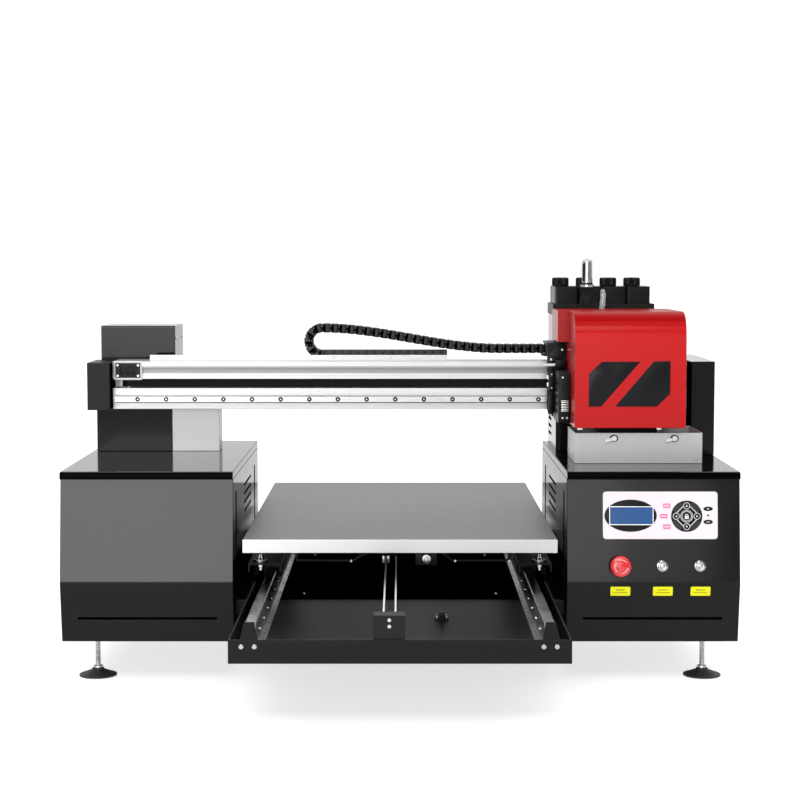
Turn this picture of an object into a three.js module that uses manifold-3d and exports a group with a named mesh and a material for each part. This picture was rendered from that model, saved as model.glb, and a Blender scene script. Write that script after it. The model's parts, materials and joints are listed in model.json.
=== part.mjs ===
// Flatbed UV printer: two cabinets carry a fixed cross beam, and a bed on a lifting platform
// runs between them. X is to the right, Y to the back and Z up, in millimetres.
import * as THREE from 'three';
import { mergeVertices } from 'three/addons/utils/BufferGeometryUtils.js';
import Module from 'manifold-3d';

const wasm = await Module();
wasm.setup();

// ---- driving dimensions -------------------------------------------------------------------
const GAP = 0.3;              // clearance kept between touching pieces
const PRINT_LINE = 300;       // from the cabinets' front plane to the middle of the machine
const SHEET = 3;              // cabinet and tray sheet thickness
const COVER = 2;              // thin cover thickness

const CABINET = { inner: 320, outer: 652, bottom: 82, back: 621, lidUnder: 398, top: 413 };
const FRONT = { topY: 18, bendY: -4, bendZ: 198, bendR: 5, footY: 14 };
const LEAN = Math.atan((FRONT.topY - FRONT.bendY) / (CABINET.lidUnder - FRONT.bendZ));
const FOOT = { x: 596, frontY: 91, backY: 530, padR: 37 };

const BEAM = { left: -603.5, right: 602.5, front: 364, back: 456.7, bottom: 505, top: 605 };
const UPRIGHT = { ledgeY: 390, wallY: 457, back: 600, ledgeZ: 504.7 };
const RAIL = { z: 526.5, width: 15, height: 13.7 };
const X_BELT = { z: 551.5, width: 15, y: 381, left: -572, right: 560, radius: 12, thick: 1.5 };

const CARRIAGE = { left: 306, right: 560, plateY: 322, plateThick: 10, bottom: 490, top: 646 };
const HOOD = { left: 345, right: 565, front: 130, wallY: 320, back: 400, bottom: 486, top: 715 };
const HOOD_STEP = { left: 322, front: 262, bottom: 650 };
const HOOD_SHEET = 2.5;

const CHAIN = { front: 405, back: 440, height: 20, lowZ: 617.6, highZ: 673.6, endZ: 630 };
const CHAIN_BEND_X = -165;
const CHAIN_FIXED_X = 100;
const CHAIN_TRAY_LEFT = -530;

const STATION = { left: 348, right: 601.5, front: 151, back: 305, top: 474.5 };
const RACK = { left: 328, right: 545, front: 452, back: 600, floor: 700.3, top: 724 };
const FILTER = { x: 399, ahead: 12, radius: 11.5, footRadius: 15, bottom: 760, top: 821 };
const TANK = {
  first: 333, width: 49.5, pitch: 51.3, neck: 13, capRadius: 18, capTop: 780,
  front: 457, back: 592, floor: 702.6, top: 761,
};

const TRAY = { half: 298, front: -349, back: 951, bottom: 120, top: 162 };
const BED_RAIL = { x: 260, top: 190, headWide: 20, headTall: 12, riserWide: 30 };
const BED = { half: 300, front: -22, back: 878, bottom: 261, top: 287 };
const SLIDER = { inner: 228, outer: 292, top: 236, skirt: 219 };
const SHOE_YS = [228, 538];    // both shoes stay on the rails over the bed's whole travel
const SHOE_LONG = 90;
const LEVEL_X = 270;
const Y_BELT = { x: -18.5, front: -325, back: 915, z: 186, width: 12, radius: 9, thick: 3 };
const LIFT = { frontY: 73, backY: 527, armHalf: 10, low: 128, high: 152, screwX: 372, screwR: 8 };

// ---- materials ----------------------------------------------------------------------------
const paint = (color, roughness, metalness) =>
  new THREE.MeshStandardMaterial({ color, roughness, metalness });
const GLOSS_BLACK = paint(0x1b1b1d, 0.18, 0.0);
const SATIN_BLACK = paint(0x2a2a2c, 0.5, 0.1);
const RED = paint(0xd0201c, 0.25, 0.0);
const ALUMINIUM = paint(0xd8dadc, 0.35, 0.9);
const STEEL = paint(0xc4c6c8, 0.3, 1.0);
const CHROME = paint(0xe4e6e8, 0.08, 1.0);
const RUBBER = paint(0x151515, 0.8, 0.0);
const WHITE = paint(0xf2f0f2, 0.4, 0.0);
const BLUE = paint(0x3a66a8, 0.2, 0.0);
const BED_GREY = paint(0x6f7072, 0.45, 0.6);

// ---- solids -------------------------------------------------------------------------------
function solid(geometry) {
  const bare = (geometry.index ? geometry.toNonIndexed() : geometry).clone();
  bare.deleteAttribute('normal');
  bare.deleteAttribute('uv');
  const merged = mergeVertices(bare, 1e-4);
  return new wasm.Manifold(new wasm.Mesh({
    numProp: 3,
    vertProperties: new Float32Array(merged.attributes.position.array),
    triVerts: new Uint32Array(merged.index.array),
  }));
}

function geometryOf(body) {
  const mesh = body.getMesh();
  const geometry = new THREE.BufferGeometry();
  geometry.setAttribute('position', new THREE.BufferAttribute(mesh.vertProperties, 3));
  geometry.setIndex(new THREE.BufferAttribute(mesh.triVerts, 1));
  return geometry;
}

const union = (...parts) => parts.reduce((sum, part) => sum.add(part));
const cut = (body, ...tools) => tools.reduce((rest, tool) => rest.subtract(tool), body);

function block([x0, x1], [y0, y1], [z0, z1]) {
  const box = new THREE.BoxGeometry(x1 - x0, y1 - y0, z1 - z0);
  return solid(box.translate((x0 + x1) / 2, (y0 + y1) / 2, (z0 + z1) / 2));
}

// A closed outline; a corner written [u, v, r] is rounded with radius r.
function outline(corners) {
  const shape = new THREE.Shape();
  corners.forEach(([u, v, r = 0], i) => {
    const here = new THREE.Vector2(u, v);
    const from = new THREE.Vector2(...corners.at(i - 1).slice(0, 2)).sub(here).normalize();
    const to = new THREE.Vector2(...corners[(i + 1) % corners.length].slice(0, 2));
    to.sub(here).normalize();
    const start = here.clone().addScaledVector(from, r);
    const end = here.clone().addScaledVector(to, r);
    if (i === 0) shape.moveTo(start.x, start.y);
    else shape.lineTo(start.x, start.y);
    if (r > 0) shape.quadraticCurveTo(u, v, end.x, end.y);
  });
  return shape;
}

const ALONG_X = new THREE.Matrix4().makeBasis(
  new THREE.Vector3(0, 1, 0), new THREE.Vector3(0, 0, 1), new THREE.Vector3(1, 0, 0));
const ALONG_Y = new THREE.Matrix4().makeBasis(
  new THREE.Vector3(1, 0, 0), new THREE.Vector3(0, 0, 1), new THREE.Vector3(0, -1, 0));

function extrude(shape, depth, segments) {
  return new THREE.ExtrudeGeometry(shape, { depth, bevelEnabled: false, curveSegments: segments });
}

// Outlines of [y, z], [x, z] and [x, y] corners, drawn out along X, Y and Z.
function prismX(corners, x0, x1, segments = 5) {
  return solid(extrude(outline(corners), x1 - x0, segments).applyMatrix4(ALONG_X).translate(x0, 0, 0));
}
function prismY(corners, y0, y1, segments = 5) {
  return solid(extrude(outline(corners), y1 - y0, segments).applyMatrix4(ALONG_Y).translate(0, y1, 0));
}
function prismZ(corners, z0, z1, segments = 5) {
  return solid(extrude(outline(corners), z1 - z0, segments).translate(0, 0, z0));
}

const rectangle = ([u0, u1], [v0, v1], r = 0) => [[u0, v0, r], [u1, v0, r], [u1, v1, r], [u0, v1, r]];

// A turned piece about a vertical line at x, y, from [radius, z] points that start and end on it.
function turned(profile, x, y, sides = 20) {
  const points = profile.map(([r, z]) => new THREE.Vector2(r, z));
  return solid(new THREE.LatheGeometry(points, sides).rotateX(Math.PI / 2).translate(x, y, 0));
}
const post = (x, y, r, z0, z1, sides = 20) => turned([[0, z0], [r, z0], [r, z1], [0, z1]], x, y, sides);

// A flat belt loop round two upright pulleys: from and to are its [x, y] pulley centres.
function beltLoop(from, to, radius, thick, z0, width) {
  const along = new THREE.Vector2(to[0] - from[0], to[1] - from[1]);
  const turn = Math.atan2(along.y, along.x);
  const racetrack = (path, r) => {
    path.absarc(0, 0, r, Math.PI / 2, 1.5 * Math.PI, false);
    path.absarc(along.length(), 0, r, -Math.PI / 2, Math.PI / 2, false);
    path.closePath();
    return path;
  };
  const shape = racetrack(new THREE.Shape(), radius + thick);
  shape.holes.push(racetrack(new THREE.Path(), radius));
  return solid(extrude(shape, width, 10).rotateZ(turn).translate(from[0], from[1], z0));
}

// ---- the scene graph ----------------------------------------------------------------------
const printer = new THREE.Group();
printer.position.y = -PRINT_LINE;

function place(name, body, material) {
  const mesh = new THREE.Mesh(geometryOf(body), material);
  mesh.name = name;
  printer.add(mesh);
}

const mirror = (side, [a, b]) => (side > 0 ? [a, b] : [-b, -a]);
const SIDES = [['left', -1], ['right', 1]];

// ---- the leaning front panel --------------------------------------------------------------
const panelY = (z) => FRONT.bendY + (z - FRONT.bendZ) * Math.tan(LEAN);

// Puts a piece modelled about the origin, facing -Y, on the right cabinet's front panel.
function onPanel(body, x, z) {
  const seat = new THREE.Matrix4().makeRotationX(-LEAN).setPosition(x, panelY(z), z);
  return body.transform(Array.from(seat.elements));
}
// A turned piece whose axis is Y: its profile is [radius, depth behind the panel].
function turnedIn(profile, sides = 24) {
  const points = profile.map(([r, depth]) => new THREE.Vector2(r, -depth));
  const lathe = new THREE.LatheGeometry(points.reverse(), sides);
  return solid(lathe.rotateX(Math.PI).rotateY(Math.PI / sides));
}

const ESTOP = { x: 421.5, z: 232.5, headR: 20.5, neckR: 11 };
const BUTTON = { xs: [503.2, 575.2], z: 232.5, r: 8.6 };
const PANEL = { x: 499, z: 329, halfWide: 110, halfTall: 45.5 };
const DISPLAY = { x: 443.4, z: 328.3, halfWide: 41, halfTall: 16.5 };

// ---- cabinets -----------------------------------------------------------------------------
const cabinetOutline = (inset, bottom, top) => [
  [FRONT.topY + inset, top], [FRONT.bendY + inset, FRONT.bendZ, FRONT.bendR],
  [FRONT.footY + inset, bottom, inset ? 0 : 6], [CABINET.back - inset, bottom],
  [CABINET.back - inset, top],
];

function cabinet(side) {
  const { inner, outer, bottom, back, lidUnder } = CABINET;
  const wall = mirror(side, [inner, outer]);
  const room = mirror(side, [inner + SHEET, outer - SHEET]);
  const shell = prismX(cabinetOutline(0, bottom, lidUnder - GAP), ...wall);
  const hollow = prismX(cabinetOutline(SHEET, bottom + SHEET, lidUnder + 5), ...room);
  const innerWall = mirror(side, [inner - 5, inner + SHEET + 2]);
  const slotHalf = LIFT.armHalf + 4;
  const liftSlots = [LIFT.frontY, LIFT.backY].map((y) =>
    prismX(rectangle([y - slotHalf, y + slotHalf], [112, 369], 6), ...innerWall, 2));
  const louvres = [300, 318, 336, 354].map((z) =>
    block(innerWall, [258, 432], [z, z + 6]));
  const rearVents = [200, 220, 240, 260, 280].map((z) =>
    block(mirror(side, [430, 560]), [back - SHEET - 5, back + 5], [z, z + 6]));
  const sideVents = [200, 220, 240, 260, 280].map((z) =>
    block(mirror(side, [outer - SHEET - 5, outer + 5]), [430, 560], [z, z + 6]));
  const grip = block(mirror(side, [352, 620]), [-20, 30], [127, 132]);
  const stem = post(side * FOOT.x, FOOT.frontY, 6, bottom - 5, bottom + SHEET + 5, 12);
  const stemBack = post(side * FOOT.x, FOOT.backY, 6, bottom - 5, bottom + SHEET + 5, 12);
  return cut(shell, hollow, ...liftSlots, ...louvres, ...rearVents, ...sideVents, grip, stem, stemBack);
}

function panelHoles() {
  const bore = (r) => turnedIn([[0, -10], [r, -10], [r, 15], [0, 15]]);
  return [
    onPanel(bore(ESTOP.neckR + 0.6), ESTOP.x, ESTOP.z),
    ...BUTTON.xs.map((x) => onPanel(bore(BUTTON.r + 0.5), x, BUTTON.z)),
  ];
}

function lid(side) {
  const { inner, outer, back, lidUnder, top } = CABINET;
  return prismX([[6, lidUnder], [back, lidUnder], [back, top, 3], [6, top, 9]],
    ...mirror(side, [inner, outer]));
}

place('left_cabinet', cabinet(-1), GLOSS_BLACK);
const inletHole = block([600, 640], [CABINET.back - 10, CABINET.back + 5], [120, 148]);
place('right_cabinet', cut(cabinet(1), ...panelHoles(), inletHole), GLOSS_BLACK);
for (const [name, side] of SIDES) place(`${name}_lid`, lid(side), GLOSS_BLACK);

function foot(x, y) {
  return turned([[0, 0], [FOOT.padR, 0], [FOOT.padR, 3], [28, 6], [13, 12], [10, 17],
    [10, 20], [5.2, 21], [5.2, 98], [0, 98]], x, y, 24);
}
for (const [name, side] of SIDES) {
  place(`${name}_front_foot`, foot(side * FOOT.x, FOOT.frontY), STEEL);
  place(`${name}_rear_foot`, foot(side * FOOT.x, FOOT.backY), STEEL);
}

place('power_inlet', union(
  block([600.4, 639.6], [CABINET.back - 22, CABINET.back - GAP], [120.4, 147.6]),
  block([596, 644], [CABINET.back + GAP, CABINET.back + 4], [116, 152]),
  block([602, 638], [CABINET.back - 1, CABINET.back + 1], [122, 146]),
), SATIN_BLACK);

// ---- uprights and cross beam --------------------------------------------------------------
function upright(x0, x1, top) {
  const { ledgeY, wallY, back, ledgeZ } = UPRIGHT;
  const base = CABINET.top + GAP;
  const shell = prismX([[ledgeY, base], [back, base], [back, top, 4], [wallY, top, 4],
    [wallY, ledgeZ], [ledgeY, ledgeZ]], x0, x1, 3);
  const hollow = prismX([[ledgeY + COVER, base - 5], [back - COVER, base - 5],
    [back - COVER, top - COVER], [wallY + COVER, top - COVER],
    [wallY + COVER, ledgeZ - COVER], [ledgeY + COVER, ledgeZ - COVER]],
  x0 + COVER, x1 - COVER);
  return cut(shell, hollow);
}
place('left_upright', upright(-642, -483, 677), GLOSS_BLACK);
const sideVents = [436, 452, 468, 484].map((z) => block([325, 335], [500, 575], [z, z + 6]));
place('right_upright', cut(upright(330, 598, 700), ...sideVents), GLOSS_BLACK);

function beam() {
  const { left, right, front, back, bottom, top } = BEAM;
  const bar = block([left, right], [front, back], [bottom, top]);
  const beltSlot = block([left - 5, right + 5], [front - 5, front + 33], [549, 568.4]);
  const motorPocket = block([left + 5, -544], [front - 5, front + 42], [549, 601]);
  const faceStep = block([-540, right + 5], [front - 5, front + 4], [575, 590]);
  const core = block([left - 5, right + 5], [front + 50, back - 6], [bottom + 6, top - 6]);
  const tray = union(
    block([CHAIN_TRAY_LEFT, CHAIN_FIXED_X], [CHAIN.front - 5, CHAIN.back + 5], [top - 1, top + 2]),
    block([CHAIN_TRAY_LEFT, CHAIN_FIXED_X], [CHAIN.front - 5, CHAIN.front - 3], [top, top + 12]),
  );
  const stand = block([-482.7, -383], [393, 455], [CABINET.top + GAP, bottom + 1]);
  return cut(union(bar, tray, stand), beltSlot, motorPocket, faceStep, core);
}
place('cross_beam', beam(), ALUMINIUM);
place('beam_rail', prismX([[BEAM.front - RAIL.height, RAIL.z - 7.5, 1], [BEAM.front - 8, RAIL.z - 7.5],
  [BEAM.front - 6, RAIL.z - 5.5], [BEAM.front - 4, RAIL.z - 7.5], [BEAM.front - GAP, RAIL.z - 7.5],
  [BEAM.front - GAP, RAIL.z + 7.5], [BEAM.front - 4, RAIL.z + 7.5], [BEAM.front - 6, RAIL.z + 5.5],
  [BEAM.front - 8, RAIL.z + 7.5], [BEAM.front - RAIL.height, RAIL.z + 7.5, 1]],
-598, 598, 1), STEEL);

function endCover(x0, x1, y0, y1, z0, z1, openSide) {
  const shell = prismZ(rectangle([x0, x1], [y0, y1], 2), z0, z1, 2);
  const inside = openSide > 0 ? [x0 + COVER, x1 + 5] : [x0 - 5, x1 - COVER];
  return cut(shell, block(inside, [y0 + COVER, y1 - COVER], [z0 + COVER, z1 - COVER]));
}
place('left_end_cover', endCover(-652, -604, 330, UPRIGHT.wallY - GAP, 505, 604, 1), SATIN_BLACK);
place('right_end_cover', endCover(603, 652, 308, 600, CABINET.top + GAP, 608, -1), GLOSS_BLACK);

place('x_motor', union(
  block([-597, -547], [BEAM.front + 3, BEAM.front + 40], [570.5, 600]),
  post(X_BELT.left, X_BELT.y, 3, 549.5, 572, 12),
), SATIN_BLACK);
place('x_belt', beltLoop([X_BELT.left, X_BELT.y], [X_BELT.right, X_BELT.y],
  X_BELT.radius, X_BELT.thick, X_BELT.z, X_BELT.width), RUBBER);

function pulley(x, y, r, z0, z1, bore) {
  return turned([[bore, z0], [r, z0], [r, z1], [bore, z1], [bore, z0]], x, y, 24);
}
place('x_drive_pulley', pulley(X_BELT.left, X_BELT.y, X_BELT.radius - GAP, 550.5, 567.5, 3.3), ALUMINIUM);
place('x_idler_pulley', pulley(X_BELT.right, X_BELT.y, X_BELT.radius - GAP, 550.5, 567.5, 3), ALUMINIUM);

// ---- print carriage -----------------------------------------------------------------------
function carriagePlate() {
  const { left, right, plateY, plateThick, bottom, top } = CARRIAGE;
  const backY = plateY + plateThick;
  const wall = prismY([[left, bottom + 10, 8], [right, bottom, 4], [right, top, 8], [left, top, 8]],
    plateY, backY, 2);
  const shelf = block([350, right], [180, plateY + 1], [bottom, bottom + 6]);
  const headHole = block([404, 516], [204, 286], [bottom - 5, bottom + 10]);
  const railSlot = block([left - 5, right + 5],
    [BEAM.front - RAIL.height - 0.6, BEAM.front], [RAIL.z - 8.1, RAIL.z + 8.1]);
  const blocks = [330, 480].map((x) => block([x, x + 60], [backY - 1, BEAM.front - 3], [509, 544]));
  const beltTab = block([420, 460], [backY - 1, X_BELT.y - 14.2], [552.5, 565.5]);
  const chainArm = block([left, left + 40], [backY - 1, 446], [top - 5, top]);
  return cut(union(wall, shelf, ...blocks, beltTab, chainArm), headHole, railSlot);
}
place('carriage_plate', carriagePlate(), SATIN_BLACK);

function hood() {
  const { left, right, front, wallY, back, bottom, top } = HOOD;
  const t = HOOD_SHEET;
  const side = (inset, low, rear) => [[front + inset, low], [wallY + rear, low],
    [wallY + rear, 655 - rear], [back + rear, 655 - rear], [back + rear, top - inset],
    [front + inset, top - inset, 55 - inset]];
  const shell = prismX(side(0, bottom, 0), left, right, 7);
  const hollow = prismX(side(t, bottom - 5, 5), left + t, right - t, 7);
  const step = block([HOOD_STEP.left, left + 5], [HOOD_STEP.front, back], [HOOD_STEP.bottom, top]);
  const stepRoom = block([HOOD_STEP.left + t, left + 6], [HOOD_STEP.front + t, back + 5],
    [HOOD_STEP.bottom - 5, top - t]);
  return cut(union(shell, step), hollow, stepRoom);
}
place('carriage_hood', hood(), RED);

place('print_head', union(
  block([405, 515], [205, 285], [480, 575]),
  block([396, 524], [196, 294], [CARRIAGE.bottom + 6 + GAP, 503]),
), SATIN_BLACK);

place('uv_lamp', cut(
  prismX(rectangle([215, CARRIAGE.plateY - GAP], [488, 592], 4), 320, HOOD.left - GAP, 2),
  ...[0, 1, 2, 3, 4].map((i) => block([315, 323], [230, 300], [508 + i * 14, 514 + i * 14])),
), SATIN_BLACK);

// ---- energy chain -------------------------------------------------------------------------
function chainStretch(centres) {
  const half = CHAIN.height / 2;
  const upper = centres.map(([x, z]) => [x, z + half]);
  const lower = centres.map(([x, z]) => [x, z - half]);
  return prismY([...lower, ...upper.reverse()], CHAIN.front, CHAIN.back);
}
const ease = (t) => t * t * (3 - 2 * t);
function chainTop() {
  const steps = 14;
  const run = CARRIAGE.left - GAP - CHAIN_BEND_X;
  const centres = [];
  for (let i = 0; i <= steps; i += 1) {
    const left = i / steps;
    const rise = ease(Math.max(0, (left - 0.2) / 0.8)) * (CHAIN.highZ - CHAIN.endZ);
    centres.unshift([CHAIN_BEND_X + run * (1 - left), CHAIN.endZ + rise]);
  }
  return chainStretch(centres);
}
function chainBend() {
  const middle = (CHAIN.highZ + CHAIN.lowZ) / 2;
  const reach = (CHAIN.highZ - CHAIN.lowZ) / 2;
  const shape = new THREE.Shape();
  const x = CHAIN_BEND_X - GAP;
  shape.absarc(x, middle, reach + CHAIN.height / 2, Math.PI / 2, 1.5 * Math.PI, false);
  shape.absarc(x, middle, reach - CHAIN.height / 2, 1.5 * Math.PI, Math.PI / 2, true);
  shape.closePath();
  return solid(extrude(shape, CHAIN.back - CHAIN.front, 12).applyMatrix4(ALONG_Y)
    .translate(0, CHAIN.back, 0));
}
place('chain_upper_run', chainTop(), RUBBER);
place('chain_bend', chainBend(), RUBBER);
place('chain_lower_run', block([CHAIN_BEND_X, CHAIN_FIXED_X], [CHAIN.front, CHAIN.back],
  [CHAIN.lowZ - CHAIN.height / 2, CHAIN.lowZ + CHAIN.height / 2]), RUBBER);

// ---- capping station ----------------------------------------------------------------------
function openTray([x0, x1], [y0, y1], [z0, z1], thick) {
  return cut(block([x0, x1], [y0, y1], [z0, z1]),
    block([x0 + thick, x1 - thick], [y0 + thick, y1 - thick], [z0 + thick, z1 + 5]));
}
place('capping_tray', openTray([STATION.left, STATION.right], [STATION.front, STATION.back],
  [CABINET.top + GAP, STATION.top], COVER), ALUMINIUM);
const capFloor = CABINET.top + 2 * GAP + COVER;
place('cap_pad', union(
  block([425, 495], [225, 265], [capFloor, 470]),
  cut(block([402, 518], [202, 288], [466, 479.2]), block([408, 512], [208, 282], [474, 485])),
), RUBBER);
const LATCH = { xs: [425.5, 546], z: 463.8 };
function latch(x) {
  const y1 = STATION.front - GAP;
  const disc = post(0, 0, 5.5, 0, 6, 16).rotate([90, 0, 0]).translate([x, y1, LATCH.z]);
  const lever = prismY([[x - 19, LATCH.z - 8, 2], [x + 1, LATCH.z - 4], [x + 4, LATCH.z + 3],
    [x - 17, LATCH.z - 1, 2]], y1 - 5, y1 - 1, 2);
  return union(disc, lever);
}
place('left_cap_latch', latch(LATCH.xs[0]), CHROME);
place('right_cap_latch', latch(LATCH.xs[1]), CHROME);

// ---- ink supply ---------------------------------------------------------------------------
function inkRack() {
  const tray = openTray([RACK.left, RACK.right], [RACK.front, RACK.back], [RACK.floor, RACK.top], COVER);
  const wedge = prismY([[FILTER.x - 2, RACK.floor + 2.7], [FILTER.x + 3, RACK.floor + 2.7],
    [FILTER.x + 15, FILTER.bottom], [FILTER.x - 17, FILTER.bottom]], RACK.front - 3, RACK.front + 1);
  const shelf = block([FILTER.x - 16, FILTER.x + 16], [RACK.front - 2 * FILTER.ahead, RACK.front],
    [FILTER.bottom - 3, FILTER.bottom]);
  return union(tray, wedge, shelf);
}
place('ink_rack', inkRack(), SATIN_BLACK);
for (let i = 0; i < 4; i += 1) {
  const x0 = TANK.first + i * TANK.pitch;
  const x = x0 + TANK.neck;
  const neckY = TANK.front + 28;
  place(`ink_tank_${i + 1}`, union(
    prismZ(rectangle([x0, x0 + TANK.width], [TANK.front, TANK.back], 6), TANK.floor, TANK.top, 2),
    post(x, neckY, 13, TANK.top - 1, TANK.top + 7.5, 20),
  ), SATIN_BLACK);
  const { capRadius, capTop, top } = TANK;
  place(`ink_cap_${i + 1}`, turned([[0, top + 9], [13.4, top + 9], [13.4, top + GAP],
    [capRadius, top + GAP], [capRadius, capTop - 6], [capRadius - 2.5, capTop - 2.5],
    [8, capTop - 0.5], [0, capTop]], x, neckY, 24), RUBBER);
}
const { radius: filterR, footRadius: filterFootR } = FILTER;
place('ink_filter', turned([[0, FILTER.bottom + GAP], [filterFootR, FILTER.bottom + GAP],
  [filterFootR, FILTER.bottom + 5], [filterR, FILTER.bottom + 6], [filterR, FILTER.top - 11],
  [filterR - 1.2, FILTER.top - 5.5], [6.5, FILTER.top - 1.3], [0, FILTER.top]],
FILTER.x, RACK.front - FILTER.ahead, 24), CHROME);

// ---- control panel ------------------------------------------------------------------------
const panelPlate = ({ halfWide, halfTall }, r, y0, y1) =>
  prismY(rectangle([-halfWide, halfWide], [-halfTall, halfTall], r), y0, y1, 4);
place('control_panel', onPanel(panelPlate(PANEL, 7, -2.3, -GAP), PANEL.x, PANEL.z), WHITE);
place('display', onPanel(panelPlate(DISPLAY, 1, -4, -2.3 - GAP), DISPLAY.x, DISPLAY.z), BLUE);
place('emergency_stop', onPanel(turnedIn([[0, -24], [14, -23], [19, -20], [ESTOP.headR, -15],
  [ESTOP.headR, -10], [16, -7], [ESTOP.neckR, -7], [ESTOP.neckR, 12], [0, 12]]),
ESTOP.x, ESTOP.z), RED);
BUTTON.xs.forEach((x, i) => place(`${['start', 'feed'][i]}_button`,
  onPanel(turnedIn([[0, -5], [7.6, -5], [BUTTON.r, -4], [BUTTON.r, 6], [0, 6]]), x, BUTTON.z), STEEL));

// ---- lifting platform ---------------------------------------------------------------------
function platformTray() {
  const { half, front, back, bottom, top } = TRAY;
  const box = openTray([-half, half], [front, back], [bottom, top], SHEET);
  const ends = [-1, 1].flatMap((side) => [front, back - SHEET].map((y) =>
    prismY([[side * 278, top - 3], [side * 247, top - 3], [side * 252, 193], [side * 270, 193]],
      y, y + SHEET)));
  const lipScrews = [-275, -252, 249, 272].map((x) =>
    turnedIn([[0, -2], [3.8, -2], [4.5, -1.4], [4.5, 1], [0, 1]], 16).translate([x, front, 150]));
  return union(box, ...ends, ...lipScrews);
}
place('platform_tray', platformTray(), SATIN_BLACK);

function bedRail(side) {
  const x = side * BED_RAIL.x;
  const floor = TRAY.bottom + SHEET + GAP;
  const riser = BED_RAIL.riserWide / 2;
  const head = BED_RAIL.headWide / 2;
  const neckZ = BED_RAIL.top - BED_RAIL.headTall;
  return prismY([[x - riser, floor], [x + riser, floor], [x + riser, floor + 4], [x + 6, floor + 8],
    [x + 6, neckZ], [x + head, neckZ], [x + head, BED_RAIL.top, 2], [x - head, BED_RAIL.top, 2],
    [x - head, neckZ], [x - 6, neckZ], [x - 6, floor + 8], [x - riser, floor + 4]],
  TRAY.front + SHEET + GAP, TRAY.back - SHEET - GAP, 1);
}
for (const [name, side] of SIDES) place(`${name}_bed_rail`, bedRail(side), STEEL);

function liftArm(side) {
  const { frontY, backY, armHalf, low, high, screwX, screwR } = LIFT;
  const prong = (y) => block(mirror(side, [TRAY.half + GAP, 350]), [y - armHalf, y + armHalf], [low, high]);
  const bar = block(mirror(side, [340, 350]), [frontY - armHalf, backY + armHalf], [low, high]);
  const nut = block(mirror(side, [349, 394]), [PRINT_LINE - 22, PRINT_LINE + 22], [low, high]);
  const thread = post(side * screwX, PRINT_LINE, screwR + 0.5, low - 5, high + 5);
  return cut(union(prong(frontY), prong(backY), bar, nut), thread);
}
for (const [name, side] of SIDES) {
  place(`${name}_lift_arm`, liftArm(side), SATIN_BLACK);
  place(`${name}_lift_screw`, post(side * LIFT.screwX, PRINT_LINE, LIFT.screwR,
    CABINET.bottom + SHEET + GAP, CABINET.lidUnder - GAP), STEEL);
}

function tensionBracket() {
  const x = [Y_BELT.x - 27.5, Y_BELT.x + 27.5];
  const front = TRAY.front + SHEET + GAP;
  return union(
    block(x, [front, front + 4], [TRAY.bottom + SHEET + GAP, 204]),
    block(x, [front, Y_BELT.front + 16], [201, 204]),
    block(x, [front, Y_BELT.front + 16], [178, 182]),
    post(Y_BELT.x, Y_BELT.front, 3, 181, 202, 12),
  );
}
place('tension_bracket', tensionBracket(), SATIN_BLACK);
place('y_motor', union(
  block([Y_BELT.x - 28, Y_BELT.x + 28], [Y_BELT.back - 28, Y_BELT.back + 28],
    [TRAY.bottom + SHEET + GAP, 180]),
  post(Y_BELT.x, Y_BELT.back, 3, 179, 198, 12),
), SATIN_BLACK);
place('y_belt', beltLoop([Y_BELT.x, Y_BELT.front], [Y_BELT.x, Y_BELT.back],
  Y_BELT.radius, Y_BELT.thick, Y_BELT.z, Y_BELT.width), WHITE);
place('y_idler_pulley', pulley(Y_BELT.x, Y_BELT.front, Y_BELT.radius - GAP, 185, 199, 3.3), ALUMINIUM);
place('y_drive_pulley', pulley(Y_BELT.x, Y_BELT.back, Y_BELT.radius - GAP, 185, 199, 3.3), ALUMINIUM);

// ---- bed ----------------------------------------------------------------------------------
place('bed_plate', prismY(rectangle([-BED.half, BED.half], [BED.bottom, BED.top], 1.5),
  BED.front, BED.back, 2), BED_GREY);

function bedSlider(side) {
  const { inner, outer, top, skirt } = SLIDER;
  const wide = mirror(side, [inner, outer]);
  const ends = [BED.front + 30, BED.back - 30];
  const channel = cut(block(wide, ends, [skirt, top]),
    block([wide[0] + SHEET, wide[1] - SHEET], [ends[0] - 5, ends[1] + 5], [skirt - 5, top - SHEET]));
  const x = side * BED_RAIL.x;
  const head = BED_RAIL.headWide / 2;
  const shoe = (y) => cut(
    block([x - head - 8, x + head + 8], [y, y + SHOE_LONG], [BED_RAIL.top - 16, top - SHEET + 1]),
    block([x - head - 0.6, x + head + 0.6], [y - 5, y + SHOE_LONG + 5],
      [BED_RAIL.top - BED_RAIL.headTall - 0.6, BED_RAIL.top + 0.6]),
    block([x - 6.6, x + 6.6], [y - 5, y + SHOE_LONG + 5], [BED_RAIL.top - 20, BED_RAIL.top]));
  const levels = [BED.front + 62, BED.back - 62].map((y) => turned(
    [[0, top - 1], [14, top - 1], [14, top + 3], [7, top + 3], [7, top + 8], [4, top + 8],
      [4, BED.bottom - 11], [13, BED.bottom - 5], [13, BED.bottom - GAP], [0, BED.bottom - GAP]],
    side * LEVEL_X, y, 16));
  return union(channel, ...SHOE_YS.map(shoe), ...levels);
}
for (const [name, side] of SIDES) place(`${name}_bed_slider`, bedSlider(side), SATIN_BLACK);

export default printer;
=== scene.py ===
"""Looks for the flatbed UV printer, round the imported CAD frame. Metres, +Z up, +Y to the back."""
import itertools
import json
import math

import bpy
import bmesh
from mathutils import Matrix, Vector


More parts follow.
